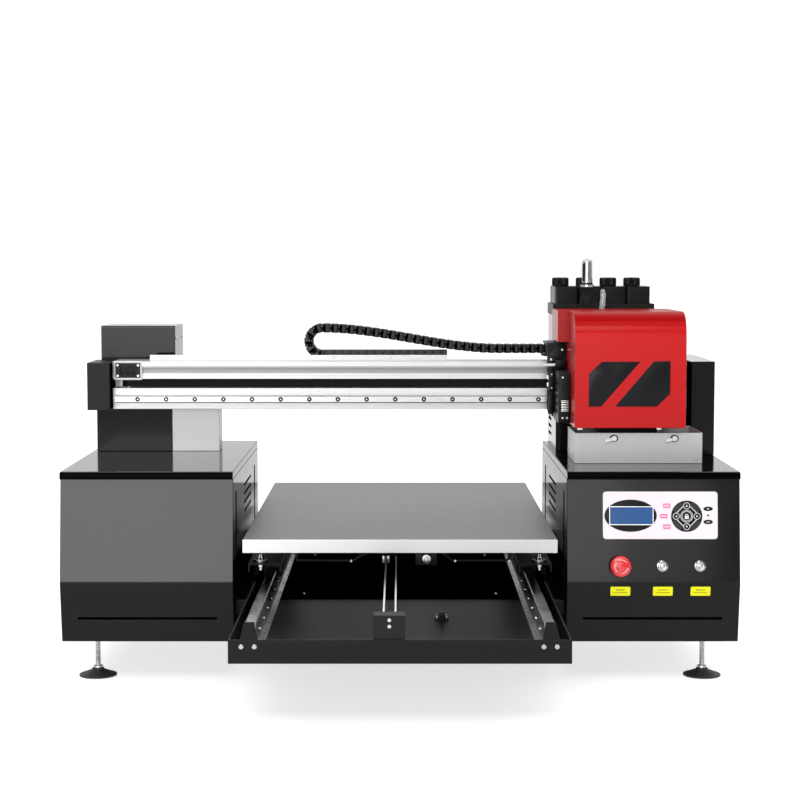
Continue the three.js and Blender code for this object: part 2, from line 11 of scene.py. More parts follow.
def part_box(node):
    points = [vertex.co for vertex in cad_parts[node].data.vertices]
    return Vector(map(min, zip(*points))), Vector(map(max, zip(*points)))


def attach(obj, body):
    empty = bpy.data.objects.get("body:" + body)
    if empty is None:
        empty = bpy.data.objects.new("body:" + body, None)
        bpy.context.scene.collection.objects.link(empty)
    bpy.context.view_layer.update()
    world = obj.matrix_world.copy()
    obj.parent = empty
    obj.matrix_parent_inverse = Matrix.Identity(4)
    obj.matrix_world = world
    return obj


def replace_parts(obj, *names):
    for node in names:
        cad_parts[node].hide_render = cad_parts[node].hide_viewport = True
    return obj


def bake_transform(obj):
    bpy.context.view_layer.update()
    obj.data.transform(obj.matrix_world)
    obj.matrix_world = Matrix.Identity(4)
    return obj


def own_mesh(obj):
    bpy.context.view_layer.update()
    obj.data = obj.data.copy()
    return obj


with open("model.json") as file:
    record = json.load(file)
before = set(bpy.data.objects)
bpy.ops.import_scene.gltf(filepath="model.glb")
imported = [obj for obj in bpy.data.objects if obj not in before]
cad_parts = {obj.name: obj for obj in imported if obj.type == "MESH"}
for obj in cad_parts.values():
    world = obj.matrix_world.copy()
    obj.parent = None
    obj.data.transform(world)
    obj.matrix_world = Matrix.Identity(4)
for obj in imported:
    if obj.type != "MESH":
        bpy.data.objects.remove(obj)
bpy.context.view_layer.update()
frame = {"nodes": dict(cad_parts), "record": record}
NODES = frame["nodes"]
MM = 0.001


# ---- camera, light and stage ----
CAMERA_Y = -3.771          # 3.471 m in front of the cabinets' front plane
CAMERA_Z = 0.815
CAMERA_PITCH = 4.34        # degrees below level
SENSOR = 36.0
FOCAL = 82.3               # millimetres on a 36 mm sensor


def placed(name, data):
    """A new object in the scene."""
    made = bpy.data.objects.new(name, data)
    bpy.context.scene.collection.objects.link(made)
    return made


def add_camera():
    data = bpy.data.cameras.new("camera")
    data.lens = FOCAL
    data.sensor_width = SENSOR
    camera = placed("camera", data)
    camera.location = (0.0, CAMERA_Y, CAMERA_Z)
    camera.rotation_euler = (math.radians(90 - CAMERA_PITCH), 0, 0)
    bpy.context.scene.camera = camera


def add_softbox(name, place, aim, size, power):
    data = bpy.data.lights.new(name, "AREA")
    data.shape = "RECTANGLE"
    data.size, data.size_y = size
    data.energy = power
    light = placed(name, data)
    light.location = place
    light.rotation_euler = (Vector(aim) - Vector(place)).to_track_quat("-Z", "Y").to_euler()
    light.visible_camera = False


def add_world(front, back):
    """A studio whose walls go from dim in front of the printer to bright behind it."""
    world = bpy.data.worlds.new("studio")
    world.use_nodes = True
    tree = world.node_tree
    background = tree.nodes["Background"]
    direction = tree.nodes.new("ShaderNodeTexCoord").outputs["Generated"]
    split = tree.nodes.new("ShaderNodeSeparateXYZ")
    ramp = tree.nodes.new("ShaderNodeMapRange")
    for socket, number in zip(ramp.inputs[1:5], (-0.2, 0.6, front, back)):
        socket.default_value = number
    tree.links.new(direction, split.inputs[0])
    tree.links.new(split.outputs["Y"], ramp.inputs[0])
    tree.links.new(ramp.outputs[0], background.inputs["Strength"])
    background.inputs["Color"].default_value = (1, 1, 1, 1)
    bpy.context.scene.world = world


# ---- materials ----
MIDDLE = (0.3, 0.7)        # where most of a noise's values lie
# Where a finish changes, each a start and an end in metres.
INNER_WALL = (0.3205, 0.3215)      # X, just past the cabinets' walls that face the bed
WALL_RISE = (0.24, 0.36)           # Z, where those walls catch some light
LIP_SCREWS = (-0.6496, -0.6492)    # Y, the screw heads on the tray's lip
TRAY_DEPTH = (-0.42, -0.06)        # Y, where the tray falls into the bed's shade
RAIL_DEPTH = (-0.40, -0.30)        # Y, where the bed rails do
HOOD_STEP = (0.3445, 0.3455)       # X, the step at the hood's left edge, which gets painted shadow
BEAM_FOOT = (0.505, 0.507)         # Z, the beam's bottom flange
BAND_START = (0.5797, 0.5803)      # Z, the band of painted shade in the recess above the belt
BAND_END = (0.5947, 0.5953)
FOOT_NECK = (0.0165, 0.0172)       # Z, the top of the rubber pad
FOOT_STEM = (0.0205, 0.0212)       # Z, where the thread starts
FALLING = (1.0, 0.0)               # a mask that goes from all to none


class Finish:
    """A procedural material whose pattern is laid out in the printer's own frame, in metres."""

    def __init__(self, name, **fixed):
        self.material = bpy.data.materials.new(name)
        self.material.use_nodes = True
        self.tree = self.material.node_tree
        self.shader = self.tree.nodes["Principled BSDF"]
        for socket, value in fixed.items():
            socket = socket.replace("_", " ").title().replace("Ior", "IOR")
            self.shader.inputs[socket].default_value = value
        self.place = self.node("TexCoord").outputs["Object"]
        self.relief = None

    def node(self, kind):
        return self.tree.nodes.new("ShaderNode" + kind)

    def feed(self, socket, value):
        if isinstance(value, bpy.types.NodeSocket):
            self.tree.links.new(value, socket)
        else:
            socket.default_value = value

    def noise(self, scale, detail=3, stretch=(1, 1, 1)):
        mapping = self.node("Mapping")
        mapping.inputs["Scale"].default_value = stretch
        self.feed(mapping.inputs["Vector"], self.place)
        texture = self.node("TexNoise")
        texture.inputs["Scale"].default_value = scale
        texture.inputs["Detail"].default_value = detail
        self.feed(texture.inputs["Vector"], mapping.outputs["Vector"])
        return texture.outputs["Fac"]

    def cells(self, scale):
        texture = self.node("TexVoronoi")
        texture.inputs["Scale"].default_value = scale
        self.feed(texture.inputs["Vector"], self.place)
        return texture.outputs["Distance"]

    def bands(self, pitch, axis):
        """Lines square to an axis, pitch metres apart."""
        texture = self.node("TexWave")
        texture.wave_type = "BANDS"
        texture.bands_direction = axis
        texture.wave_profile = "SIN"
        texture.inputs["Scale"].default_value = math.pi / (10 * pitch)
        self.feed(texture.inputs["Vector"], self.place)
        return texture.outputs["Fac"]

    def part(self, source, name):
        split = self.node("SeparateXYZ")
        self.feed(split.inputs[0], source)
        return split.outputs[name]

    def spread(self, value, start, end, low=0.0, high=1.0):
        """The value's run from start to end, mapped on to low to high."""
        ranged = self.node("MapRange")
        for socket, number in zip(ranged.inputs[1:5], (start, end, low, high)):
            socket.default_value = number
        self.feed(ranged.inputs[0], value)
        return ranged.outputs[0]

    def along(self, axis, *limits):
        """A mask that changes between two places on an axis."""
        return self.spread(self.part(self.place, axis), *limits)

    def upward(self, *limits):
        """A mask that changes between two slopes, by how far a face looks up."""
        normal = self.node("NewGeometry").outputs["True Normal"]
        return self.spread(self.part(normal, "Z"), *limits)

    def mix(self, amount, first, second):
        mixed = self.node("Mix")
        mixed.data_type = "RGBA"
        self.feed(mixed.inputs[0], amount)
        self.feed(mixed.inputs[6], first)
        self.feed(mixed.inputs[7], second)
        return mixed.outputs[2]

    def mix_value(self, amount, first, second):
        mixed = self.node("Mix")
        self.feed(mixed.inputs[0], amount)
        self.feed(mixed.inputs[2], first)
        self.feed(mixed.inputs[3], second)
        return mixed.outputs[0]

    def set(self, socket, value):
        self.feed(self.shader.inputs[socket], value)
        return self

    def colour(self, amount, first, second):
        return self.set("Base Color", self.mix(amount, first, second))

    def rough(self, grain, low, high):
        return self.set("Roughness", self.spread(grain, *MIDDLE, low, high))

    def bump(self, height, strength, depth=0.0002):
        node = self.node("Bump")
        node.inputs["Strength"].default_value = strength
        node.inputs["Distance"].default_value = depth
        self.feed(node.inputs["Height"], height)
        if self.relief:
            self.feed(node.inputs["Normal"], self.relief)
        self.relief = node.outputs["Normal"]
        return self.set("Normal", self.relief)


def grey(level, warmth=0.0):
    return (level * (1 + warmth), level, level * (1 - warmth), 1)


def speckled(name, tint, colours, grain, rough, relief, depth=0.0002, **fixed):
    """A colour clouded by one noise, with roughness and fine relief from another."""
    look = Finish(name, **fixed)
    pores = look.noise(*grain)
    look.colour(look.noise(*tint), *colours).rough(pores, *rough)
    return look.bump(pores, relief, depth)


def gloss_black(name, upright_shine, lean=0.04, tone=0.003):
    """Gloss black with painted reflection and shade: its reflection strength is set by which way a
    face looks, strongest on faces that lean back, and is almost none on the walls that face the
    bed, where shade is painted.
    """
    look = Finish(name)
    cloud = look.noise(5, 4)
    # Painted reflection and shade: how strongly a face reflects is chosen by which way it looks.
    forward = look.upward(-0.12, -0.05)
    leaning = look.upward(lean, lean + 0.04)
    shine = look.mix_value(forward, 0.14, look.mix_value(leaning, upright_shine, 0.25))
    # Painted shade on the walls that face the bed: almost no reflection, a little more where
    # WALL_RISE lets them catch light.
    near, far = INNER_WALL
    inner = look.mix_value(look.along("X", -far, -near), 0.0, look.along("X", near, far, *FALLING))
    wall_shine = look.along("Z", *WALL_RISE, 0.0, 0.012)
    look.set("Specular IOR Level", look.mix_value(inner, shine, wall_shine))
    look.colour(cloud, grey(tone), grey(2 * tone, 0.08)).rough(cloud, 0.08, 0.12)
    return look.bump(look.noise(240, 2), 0.05, 0.0003).bump(look.noise(30, 1), 0.02, 0.0008)


def satin_black():
    look = Finish("satin_black", specular_ior_level=0.14)
    grain = look.noise(1400, 4)
    look.colour(grain, grey(0.004), grey(0.011, 0.03))
    look.set("Roughness", look.spread(look.noise(8, 3), 0.2, 0.8, 0.36, 0.42))
    return look.bump(grain, 0.22)


def tray_finish():
    """The tray's satin black with painted shade, near black and without reflection, under the bed;
    a stronger painted sheen on faces that look up; plated screw heads on its front lip.
    """
    look = Finish("tray_black")
    grain = look.noise(1400, 4)
    head = look.along("Y", *LIP_SCREWS, *FALLING)
    # Painted shade under the bed: the colour goes near black towards the back.
    depth = look.along("Y", *TRAY_DEPTH)
    paint = look.mix(depth, look.mix(grain, grey(0.004), grey(0.010, 0.03)), grey(0.0006))
    look.colour(head, paint, look.mix(grain, grey(0.26), grey(0.42)))
    look.set("Metallic", head)
    look.set("Roughness", look.mix_value(head, look.spread(grain, *MIDDLE, 0.36, 0.42), 0.24))
    # Painted sheen and shade: faces that look up reflect more, and nothing reflects under the bed.
    floor = look.upward(0.5, 0.8)
    look.set("Specular IOR Level", look.mix_value(depth, look.mix_value(floor, 0.1, 0.4), 0.0))
    return look.bump(grain, 0.2)


def black_plastic():
    look = Finish("black_plastic", specular_ior_level=0.12)
    cloud = look.noise(12, 3)
    look.colour(cloud, grey(0.002), grey(0.006)).rough(cloud, 0.24, 0.38)
    return look.bump(look.cells(1600), 0.12)


def red_paint():
    """The hood's gloss red, with painted shade: a darker, barely reflecting red on its top, and a
    darker red on the step at its left edge, where shadow falls.
    """
    look = Finish("red_paint", coat_weight=0.04, coat_roughness=0.06)
    cloud = look.noise(4, 2)
    front = look.mix(cloud, (0.39, 0.003, 0.004, 1), (0.42, 0.004, 0.005, 1))
    # Painted shade on faces that look up: a darker red and almost no reflection.
    top = look.upward(0.1, 0.7)
    crown = look.mix(top, front, (0.27, 0.0005, 0.0006, 1))
    # Painted shadow on the step at the hood's left edge.
    step = look.along("X", *HOOD_STEP, *FALLING)
    look.colour(step, crown, (0.28, 0.010, 0.008, 1))
    look.set("Specular IOR Level", look.mix_value(top, 0.16, 0.02))
    look.set("Roughness", look.spread(cloud, 0.0, 1.0, 0.26, 0.32))
    return look.bump(look.noise(300, 2), 0.05, 0.0003)


def brushed_metal(name, dark, light, roughness, stretch, metallic=1.0):
    look = Finish(name, metallic=metallic)
    streaks = look.noise(900, 3, stretch)
    tone = look.mix_value(0.35, streaks, look.noise(9, 3))
    look.colour(tone, grey(dark), grey(light, 0.01))
    return look.rough(tone, roughness - 0.05, roughness + 0.07).bump(streaks, 0.08)


def beam_finish():
    """Drawn aluminium, a darker grey on its bottom face, and a band of painted shade in the recess
    above the belt.
    """
    look = Finish("beam_extrusion")
    streaks = look.noise(900, 3, ALONG_X)
    tone = look.mix_value(0.35, streaks, look.noise(9, 3))
    drawn = look.mix(tone, grey(0.44), grey(0.56, 0.01))
    bare = look.mix(look.along("Z", *BEAM_FOOT), grey(0.34), drawn)
    # Painted shade in the recess above the belt: a darker, less metallic band.
    above = look.along("Z", *BAND_START)
    below = look.along("Z", *BAND_END, *FALLING)
    band = look.mix_value(above, 0.0, below)
    look.colour(band, bare, grey(0.26)).rough(streaks, 0.30, 0.40)
    look.set("Metallic", look.spread(band, 0.0, 1.0, 0.5, 0.2))
    return look.bump(streaks, 0.08)


def rail_finish():
    """Ground steel, with painted shade, near black, where the rail runs on under the bed."""
    look = Finish("bed_rail", metallic=0.9)
    streaks = look.noise(900, 3, ALONG_Y)
    cloud = look.noise(14, 4)
    bare = look.mix(look.mix_value(0.5, streaks, cloud), grey(0.20), grey(0.52))
    # Painted shade: the steel goes near black where the rail runs under the bed.
    look.colour(look.along("Y", *RAIL_DEPTH), bare, grey(0.05))
    return look.rough(cloud, 0.22, 0.34).bump(streaks, 0.1)


def bed_aluminium():
    """A grey anodised film on the bed's top, and bright milled edges with painted light that makes
    them lighter on the left.
    """
    look = Finish("bed_aluminium", ior=1.45)
    streaks = look.noise(1300, 3, ALONG_X)
    edge = look.upward(0.5, 0.6, *FALLING)
    tone = look.mix_value(0.3, streaks, look.noise(3, 3))
    film = look.mix(tone, grey(0.10), grey(0.14, 0.01))
    # Painted light: the milled edges are lighter towards the left.
    milled = look.mix(look.along("X", -0.15, 0.2), grey(0.52), grey(0.46))
    look.colour(edge, film, milled)
    look.set("Roughness", look.mix_value(edge, look.spread(streaks, *MIDDLE, 0.36, 0.48), 0.28))
    look.set("Metallic", look.spread(edge, 0.0, 1.0, 0.35, 0.8))
    return look.bump(streaks, 0.06)


def chrome():
    look = Finish("chrome", metallic=1.0)
    haze = look.noise(60, 4)
    look.colour(haze, grey(0.40), grey(0.54)).rough(haze, 0.06, 0.16)
    return look.bump(look.noise(1500, 2, (1, 0.05, 1)), 0.03, 0.0001)


def foot_finish():
    """One turned piece: a black rubber-faced pad up to the neck, then a plated nut and stem."""
    look = Finish("levelling_foot")
    grain = look.noise(900, 3)
    plated = look.along("Z", *FOOT_NECK)
    pad = look.mix(grain, grey(0.010), grey(0.022))
    look.colour(plated, pad, look.mix(grain, grey(0.60), grey(0.80)))
    look.set("Metallic", plated)
    look.set("Roughness", look.mix_value(plated, look.spread(grain, *MIDDLE, 0.5, 0.65), 0.22))
    on_stem = look.along("Z", *FOOT_STEM)
    thread = look.bands(0.00125, "Z")
    return look.bump(look.mix_value(on_stem, 0.5, thread), 0.6, 0.0006)


def lift_screw_finish():
    look = Finish("lift_screw", metallic=1.0)
    thread = look.bands(0.004, "Z")
    look.colour(thread, grey(0.22), grey(0.62)).rough(look.noise(40, 3), 0.18, 0.34)
    return look.bump(thread, 0.9, 0.001)


def chain_plastic(pitched):
    """Nylon of the energy chain; the stretching run carries its link joints as a pattern."""
    look = Finish("chain_plastic_pitched" if pitched else "chain_plastic", specular_ior_level=0.3)
    grain = look.noise(1200, 3)
    base = look.mix(grain, grey(0.004), grey(0.011))
    if pitched:
        joint = look.spread(look.bands(CHAIN_PITCH * MM, "X"), 0.05, 0.16)
        base = look.mix(joint, grey(0.002), base)
        look.bump(joint, 0.9, 0.0012)
    return look.set("Base Color", base).rough(grain, 0.34, 0.46).bump(grain, 0.12)


def toothed_rubber():
    look = Finish("toothed_rubber", specular_ior_level=0.1)
    teeth = look.bands(0.003, "X")
    look.colour(teeth, grey(0.001), grey(0.004)).rough(look.noise(900, 3), 0.5, 0.66)
    return look.bump(teeth, 0.35, 0.0006)


def white_belt():
    look = Finish("white_belt", ior=1.5)
    grain = look.noise(900, 3)
    look.colour(grain, grey(0.62, 0.01), grey(0.78, 0.01)).rough(grain, 0.3, 0.42)
    return look.bump(look.bands(0.005, "Y"), 0.3, 0.0006)


def display_glass():
    """A blue dot display behind glass, faintly lit."""
    look = Finish("display_glass", specular_ior_level=0.12, coat_weight=0.08, coat_roughness=0.05,
                  emission_strength=0.2)
    rows = look.spread(look.bands(0.0008, "Z"), 0.0, 0.35)
    columns = look.spread(look.bands(0.0008, "X"), 0.0, 0.35)
    glow = look.noise(14, 2)
    lit = look.mix(glow, (0.015, 0.060, 0.185, 1), (0.025, 0.085, 0.235, 1))
    dots = look.mix(rows, (0.012, 0.047, 0.142, 1), lit)
    tone = look.mix(columns, (0.012, 0.050, 0.153, 1), dots)
    return look.set("Base Color", tone).set("Emission Color", tone).rough(glow, 0.10, 0.16)


def smoked_glass():
    look = Finish("smoked_glass", specular_ior_level=0.1)
    haze = look.noise(10, 3)
    look.colour(haze, (0.005, 0.005, 0.006, 1), (0.009, 0.009, 0.011, 1))
    return look.rough(haze, 0.22, 0.28).bump(look.noise(200, 2), 0.02)


def print_ink(name, dark, light, roughness=0.4):
    """A printed or moulded colour with fine grain: labels, key symbols and legends."""
    return speckled(name, (60, 3), (dark, light), (1600, 3), (roughness - 0.06, roughness + 0.08),
                    0.06, 0.0001, specular_ior_level=0.15)


def floor_finish():
    look = Finish("studio_floor", emission_color=(1, 1, 1, 1), emission_strength=0.7)
    cloud = look.noise(2, 3)
    look.colour(cloud, grey(0.50), grey(0.54)).rough(cloud, 0.5, 0.6)
    return look.bump(look.noise(300, 3), 0.02)


CHAIN_PITCH = 17.6
ALONG_X, ALONG_Y, EVEN = (0.02, 1, 1), (1, 0.03, 1), (1, 1, 1)
PLASTIC = black_plastic()
SATIN = satin_black()
CHROME = chrome()
STEEL = brushed_metal("steel", 0.42, 0.58, 0.26, ALONG_Y)
ALUMINIUM = brushed_metal("aluminium", 0.66, 0.86, 0.32, ALONG_X, 0.85)
RED_PLASTIC = speckled("red_plastic", (30, 3), ((0.52, 0.012, 0.016, 1), (0.60, 0.018, 0.022, 1)),
                       (700, 3), (0.22, 0.32), 0.06, 0.0001,
                       ior=1.5, coat_weight=0.4, coat_roughness=0.08)
SLOTS = {
    "gloss_black": gloss_black("gloss_black", 0.12),
    "satin_black": SATIN,
    "black_plastic": PLASTIC,
    "red_paint": red_paint(),
    "aluminium": ALUMINIUM,
    "bed_aluminium": bed_aluminium(),
    "steel": STEEL,
    "chrome": CHROME,
    "rubber": speckled("rubber", (14, 4), (grey(0.004), grey(0.010, 0.02)), (1100, 4), (0.42, 0.6),
                       0.2, specular_ior_level=0.15),
    "white_belt": white_belt(),
    "white_panel": speckled("white_panel", (9, 2), ((0.61, 0.56, 0.60, 1), (0.66, 0.62, 0.65, 1)),
                            (1500, 3), (0.36, 0.5), 0.08, 0.0001),
    "display": display_glass(),
    "red_plastic": RED_PLASTIC,
}
FOOT = foot_finish()
BEAM_FINISH = beam_finish()
SILVER = brushed_metal("silver_sheet", 0.38, 0.45, 0.38, (0.05, 1, 1), 0.45)
LIFT_SCREW = lift_screw_finish()
TRAY = tray_finish()
RAIL = rail_finish()
# Lids: painted shade, almost no reflection, on their front edges and sides; only faces that look
# nearly straight up keep their reflection.
LID = gloss_black("lid_black", 0.01, 0.9, 0.0006)
CHAIN = chain_plastic(False)
CHAIN_RUN = chain_plastic(True)
TOOTHED = toothed_rubber()
GLASS = smoked_glass()
HOSE = speckled("clear_hose", (120, 3), (grey(0.84), grey(0.95)), (120, 3), (0.06, 0.16), 0.05,
                ior=1.45, transmission_weight=0.75)
BLACK_INK = print_ink("black_ink", grey(0.003), grey(0.007), 0.35)
WHITE_INK = print_ink("white_ink", grey(0.52), grey(0.62))
PINK_INK = print_ink("pink_ink", (0.66, 0.13, 0.26, 1), (0.72, 0.18, 0.32, 1))
PALE_PINK = print_ink("pale_pink", (0.78, 0.42, 0.54, 1), (0.84, 0.50, 0.60, 1))
YELLOW_INK = print_ink("yellow_ink", (0.60, 0.58, 0.006, 1), (0.66, 0.64, 0.010, 1))
SCREW = brushed_metal("zinc_plate", 0.36, 0.58, 0.24, EVEN)
DARK_SCREW = brushed_metal("black_oxide", 0.03, 0.07, 0.34, EVEN, 0.6)
SLATE_INK = print_ink("slate_ink", grey(0.022), grey(0.032))
OLIVE_INK = print_ink("olive_ink", (0.04, 0.04, 0.004, 1), (0.07, 0.07, 0.006, 1))
DARK_RED = print_ink("window_seal", (0.20, 0.006, 0.008, 1), (0.28, 0.010, 0.012, 1))
DARK_FOAM = print_ink("filter_foam", grey(0.004), grey(0.012), 0.8)
GROUND_RAIL = brushed_metal("ground_rail", 0.42, 0.50, 0.28, ALONG_X, 0.8)
TINNED = brushed_metal("tinned_pins", 0.55, 0.70, 0.22, (1, 0.05, 1))


# ---- mesh tools ----
def oblong(wide, tall, radius=0.0, steps=4):
    """A rectangle's outline about the origin, its corners rounded."""
    corners = ((1, 1), (-1, 1), (-1, -1), (1, -1))
    if radius <= 0:
        return [(sx * wide / 2, sy * tall / 2) for sx, sy in corners]
    points = []
    for quarter, (sx, sy) in enumerate(corners):
        for step in range(steps + 1):
            turn = math.radians(90) * (quarter + step / steps)
            across = sx * (wide / 2 - radius) + radius * math.cos(turn)
            points.append((across, sy * (tall / 2 - radius) + radius * math.sin(turn)))
    return points


def ellipse(wide, tall, steps=40):
    turns = [2 * math.pi * i / steps for i in range(steps)]
    return [(wide / 2 * math.cos(t), tall / 2 * math.sin(t)) for t in turns]


def moved(outline, across, up):
    return [(u + across, v + up) for u, v in outline]


def rotated(outline, turn):
    c, s = math.cos(turn), math.sin(turn)
    return [(u * c - v * s, u * s + v * c) for u, v in outline]


def arc_band(inner, outer, start, sweep, steps=14):
    """The outline of a flat band round part of a circle, from start through sweep degrees."""
    turns = [math.radians(start + sweep * i / steps) for i in range(steps + 1)]
    rim = [(outer * math.cos(t), outer * math.sin(t)) for t in turns]
    return rim + [(inner * math.cos(t), inner * math.sin(t)) for t in reversed(turns)]


SIDES = {
    "front": ((1, 0, 0), (0, 0, 1)),
    "back": ((-1, 0, 0), (0, 0, 1)),
    "left": ((0, -1, 0), (0, 0, 1)),
    "right": ((0, 1, 0), (0, 0, 1)),
    "top": ((1, 0, 0), (0, 1, 0)),
    "under": ((1, 0, 0), (0, -1, 0)),
}


def seat(origin, across, up):
    """A local frame in millimetres: u runs across, v up, and w stands out from the surface."""
    u = Vector(across).normalized()
    v = Vector(up).normalized()
    basis = Matrix((u, v, u.cross(v))).transposed().to_4x4()
    return Matrix.Translation(Vector(origin) * MM) @ basis @ Matrix.Scale(MM, 4)


def on(side, x, y, z):
    return seat((x, y, z), *SIDES[side])


PRINTER = on("top", 0, 0, 0)
BEND_Y = -304.0            # the front panels' bend, the most forward line of a cabinet
BEND_Z = 198.0
LEAN = math.atan(22 / 200)
UNDERCUT = math.atan(18 / 116)


def on_panel(x, z):
    """A seat on the leaning front panel."""
    y = BEND_Y + (z - BEND_Z) * math.tan(LEAN)
    return seat((x, y, z), (1, 0, 0), (0, math.sin(LEAN), math.cos(LEAN)))


def under_bend(x, z):
    """A seat on the lower front panel, which falls back below the bend."""
    y = BEND_Y + (BEND_Z - z) * math.tan(UNDERCUT)
    return seat((x, y, z), (1, 0, 0), (0, -math.sin(UNDERCUT), math.cos(UNDERCUT)))


def span(node):
    """A CAD node's lowest and highest corners at rest, in millimetres."""
    low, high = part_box(node)
    return low / MM, high / MM


def centre_of(node):
    low, high = span(node)
    return [(a + b) / 2 for a, b in zip(low, high)]


def loft(shape, rings):
    """Faces between each ring of corners and the next; a ring of one corner is a pole."""
    for here, there in zip(rings, rings[1:]):
        for i in range(max(len(here), len(there))):
            quad = ((here, i - 1), (here, i), (there, i), (there, i - 1))
            shape.faces.new(list(dict.fromkeys(ring[k % len(ring)] for ring, k in quad)))


def soften(shape, offset, segments=2, above=32):
    """Rounds the edges where two faces turn by more than above degrees."""
    bmesh.ops.recalc_face_normals(shape, faces=shape.faces)
    edges = [e for e in shape.edges if e.calc_face_angle(0) > math.radians(above)]
    bmesh.ops.bevel(shape, geom=edges, offset=offset, segments=segments, profile=0.5,
                    affect="EDGES", clamp_overlap=True)


class Piece:
    """One named mesh, made of several shapes that each take a seat and a finish."""

    def __init__(self, name):
        self.name = name
        self.mesh = bmesh.new()
        self.finishes = []
        self.seat = PRINTER

    def at(self, new_seat):
        self.seat = new_seat
        return self

    def add(self, shape, finish):
        if finish not in self.finishes:
            self.finishes.append(finish)
        bmesh.ops.recalc_face_normals(shape, faces=shape.faces)
        copies = {vertex: self.mesh.verts.new(self.seat @ vertex.co) for vertex in shape.verts}
        for face in shape.faces:
            made = self.mesh.faces.new([copies[vertex] for vertex in face.verts])
            made.material_index = self.finishes.index(finish)
            made.smooth = True
        shape.free()
        return self

    def prism(self, outline, low, high, finish, bevel=0.0, segments=2):
        """An outline drawn out from low to high, its edges rounded by bevel."""
        shape = bmesh.new()
        base = [shape.verts.new((u, v, low)) for u, v in outline]
        roof = [shape.verts.new((u, v, high)) for u, v in outline]
        shape.faces.new(list(reversed(base)))
        shape.faces.new(roof)
        loft(shape, [base, roof])
        if bevel:
            soften(shape, bevel, segments)
        return self.add(shape, finish)

    def block(self, xs, ys, zs, finish, bevel=0.4):
        """A bevelled block between two corners of the seat's own axes."""
        outline = [(xs[0], ys[0]), (xs[1], ys[0]), (xs[1], ys[1]), (xs[0], ys[1])]
        return self.prism(outline, zs[0], zs[1], finish, bevel)

    def band(self, outer, inner, low, high, finish):
        """A frame between two outlines with the same number of points."""
        shape = bmesh.new()
        rings = [[shape.verts.new((u, v, w)) for u, v in line]
                 for line, w in ((outer, low), (outer, high), (inner, high), (inner, low))]
        loft(shape, rings + rings[:1])
        soften(shape, (high - low) * 0.25, above=60)
        return self.add(shape, finish)

    def lathe(self, profile, finish, sides=28, ribs=0, rib_depth=0.0):
        """A profile of (radius, height) turned about the seat's w axis, with ribs if asked."""
        shape = bmesh.new()
        rings = []
        for radius, height in profile:
            if radius < 1e-6:
                rings.append([shape.verts.new((0, 0, height))])
                continue
            ring = []
            for i in range(sides):
                turn = 2 * math.pi * i / sides
                r = radius - rib_depth * (0.5 - 0.5 * math.cos(ribs * turn))
                ring.append(shape.verts.new((r * math.cos(turn), r * math.sin(turn), height)))
            rings.append(ring)
        loft(shape, rings)
        bmesh.ops.remove_doubles(shape, verts=shape.verts, dist=1e-4)
        return self.add(shape, finish)

    def tube(self, points, radius, finish, sides=12):
        """A round bar along points, closed at both ends."""
        shape = bmesh.new()
        path = [Vector(p) for p in points]
        rings = []
        side = Vector((0.12, 0.99, 0.05))
        turns = [2 * math.pi * k / sides for k in range(sides)]
        for i, point in enumerate(path):
            along = (path[min(i + 1, len(path) - 1)] - path[max(i - 1, 0)]).normalized()
            side = (side - along * side.dot(along)).normalized()
            other = along.cross(side)
            ring = [point + radius * (math.cos(t) * side + math.sin(t) * other) for t in turns]
            rings.append([shape.verts.new(corner) for corner in ring])
        loft(shape, rings)
        shape.faces.new(rings[0])
        shape.faces.new(list(reversed(rings[-1])))
        return self.add(shape, finish)

    def screw(self, radius, height, finish=SCREW):
        """A socket head screw at the seat's origin, standing out along w."""
        profile = ((0, 0), (1, 0), (1, 0.65), (0.88, 1), (0.5, 1), (0.46, 0.35), (0, 0.3))
        return self.lathe([(radius * r, height * h) for r, h in profile], finish, 18)

    def screws(self, side, xs, ys, zs, radius, height, finish=SCREW):
        """A screw at every meeting of the given x, y and z, each one number or several."""
        several = [n if isinstance(n, tuple) else (n,) for n in (xs, ys, zs)]
        for place in itertools.product(*several):
            self.at(on(side, *place)).screw(radius, height, finish)
        return self

    def done(self, body=None, slot=None):
        data = bpy.data.meshes.new(self.name)
        self.mesh.to_mesh(data)
        self.mesh.free()
        for finish in self.finishes:
            data.materials.append(finish.material)
        data.set_sharp_from_angle(angle=math.radians(38))
        made = placed(self.name, data)
        if body:
            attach(made, body)
        return made


# ---- CAD nodes that are shown ----
EDGE_WIDTHS = {
    "cabinet": 1.2, "lid": 1.6, "upright": 1.6, "end_cover": 1.4, "cross_beam": 0.5,
    "bed_plate": 0.7, "carriage_hood": 1.2, "platform_tray": 0.8, "capping_tray": 0.6,
    "ink_tank": 1.5, "ink_rack": 0.5,
}
SPECIAL = {
    "_foot": FOOT, "_lift_screw": LIFT_SCREW, "x_belt": TOOTHED, "capping_tray": SILVER,
    "cross_beam": BEAM_FINISH, "platform_tray": TRAY, "_lid": LID, "beam_rail": GROUND_RAIL,
    "_bed_rail": RAIL,
}


def edge_width(name):
    for part, width in EDGE_WIDTHS.items():
        if part in name:
            return width
    return 0.4


def modify(shown, kind, **settings):
    modifier = shown.modifiers.new(kind.lower(), kind)
    for setting, value in settings.items():
        setattr(modifier, setting, value)


def dress_node(name, finish):
    """Keeps a CAD node's shape: merges flat triangles, rounds edges and gives it a finish."""
    shown = NODES[name]
    shown.data.materials.clear()
    shown.data.materials.append(finish.material)
    for polygon in shown.data.polygons:
        polygon.use_smooth = True
    modify(shown, "WELD", merge_threshold=0.00002)
    modify(shown, "DECIMATE", decimate_type="DISSOLVE", angle_limit=math.radians(1))
    modify(shown, "BEVEL", width=edge_width(name) * MM, segments=2, limit_method="ANGLE",
           angle_limit=math.radians(32), harden_normals=False)
    modify(shown, "WEIGHTED_NORMAL", keep_sharp=False)


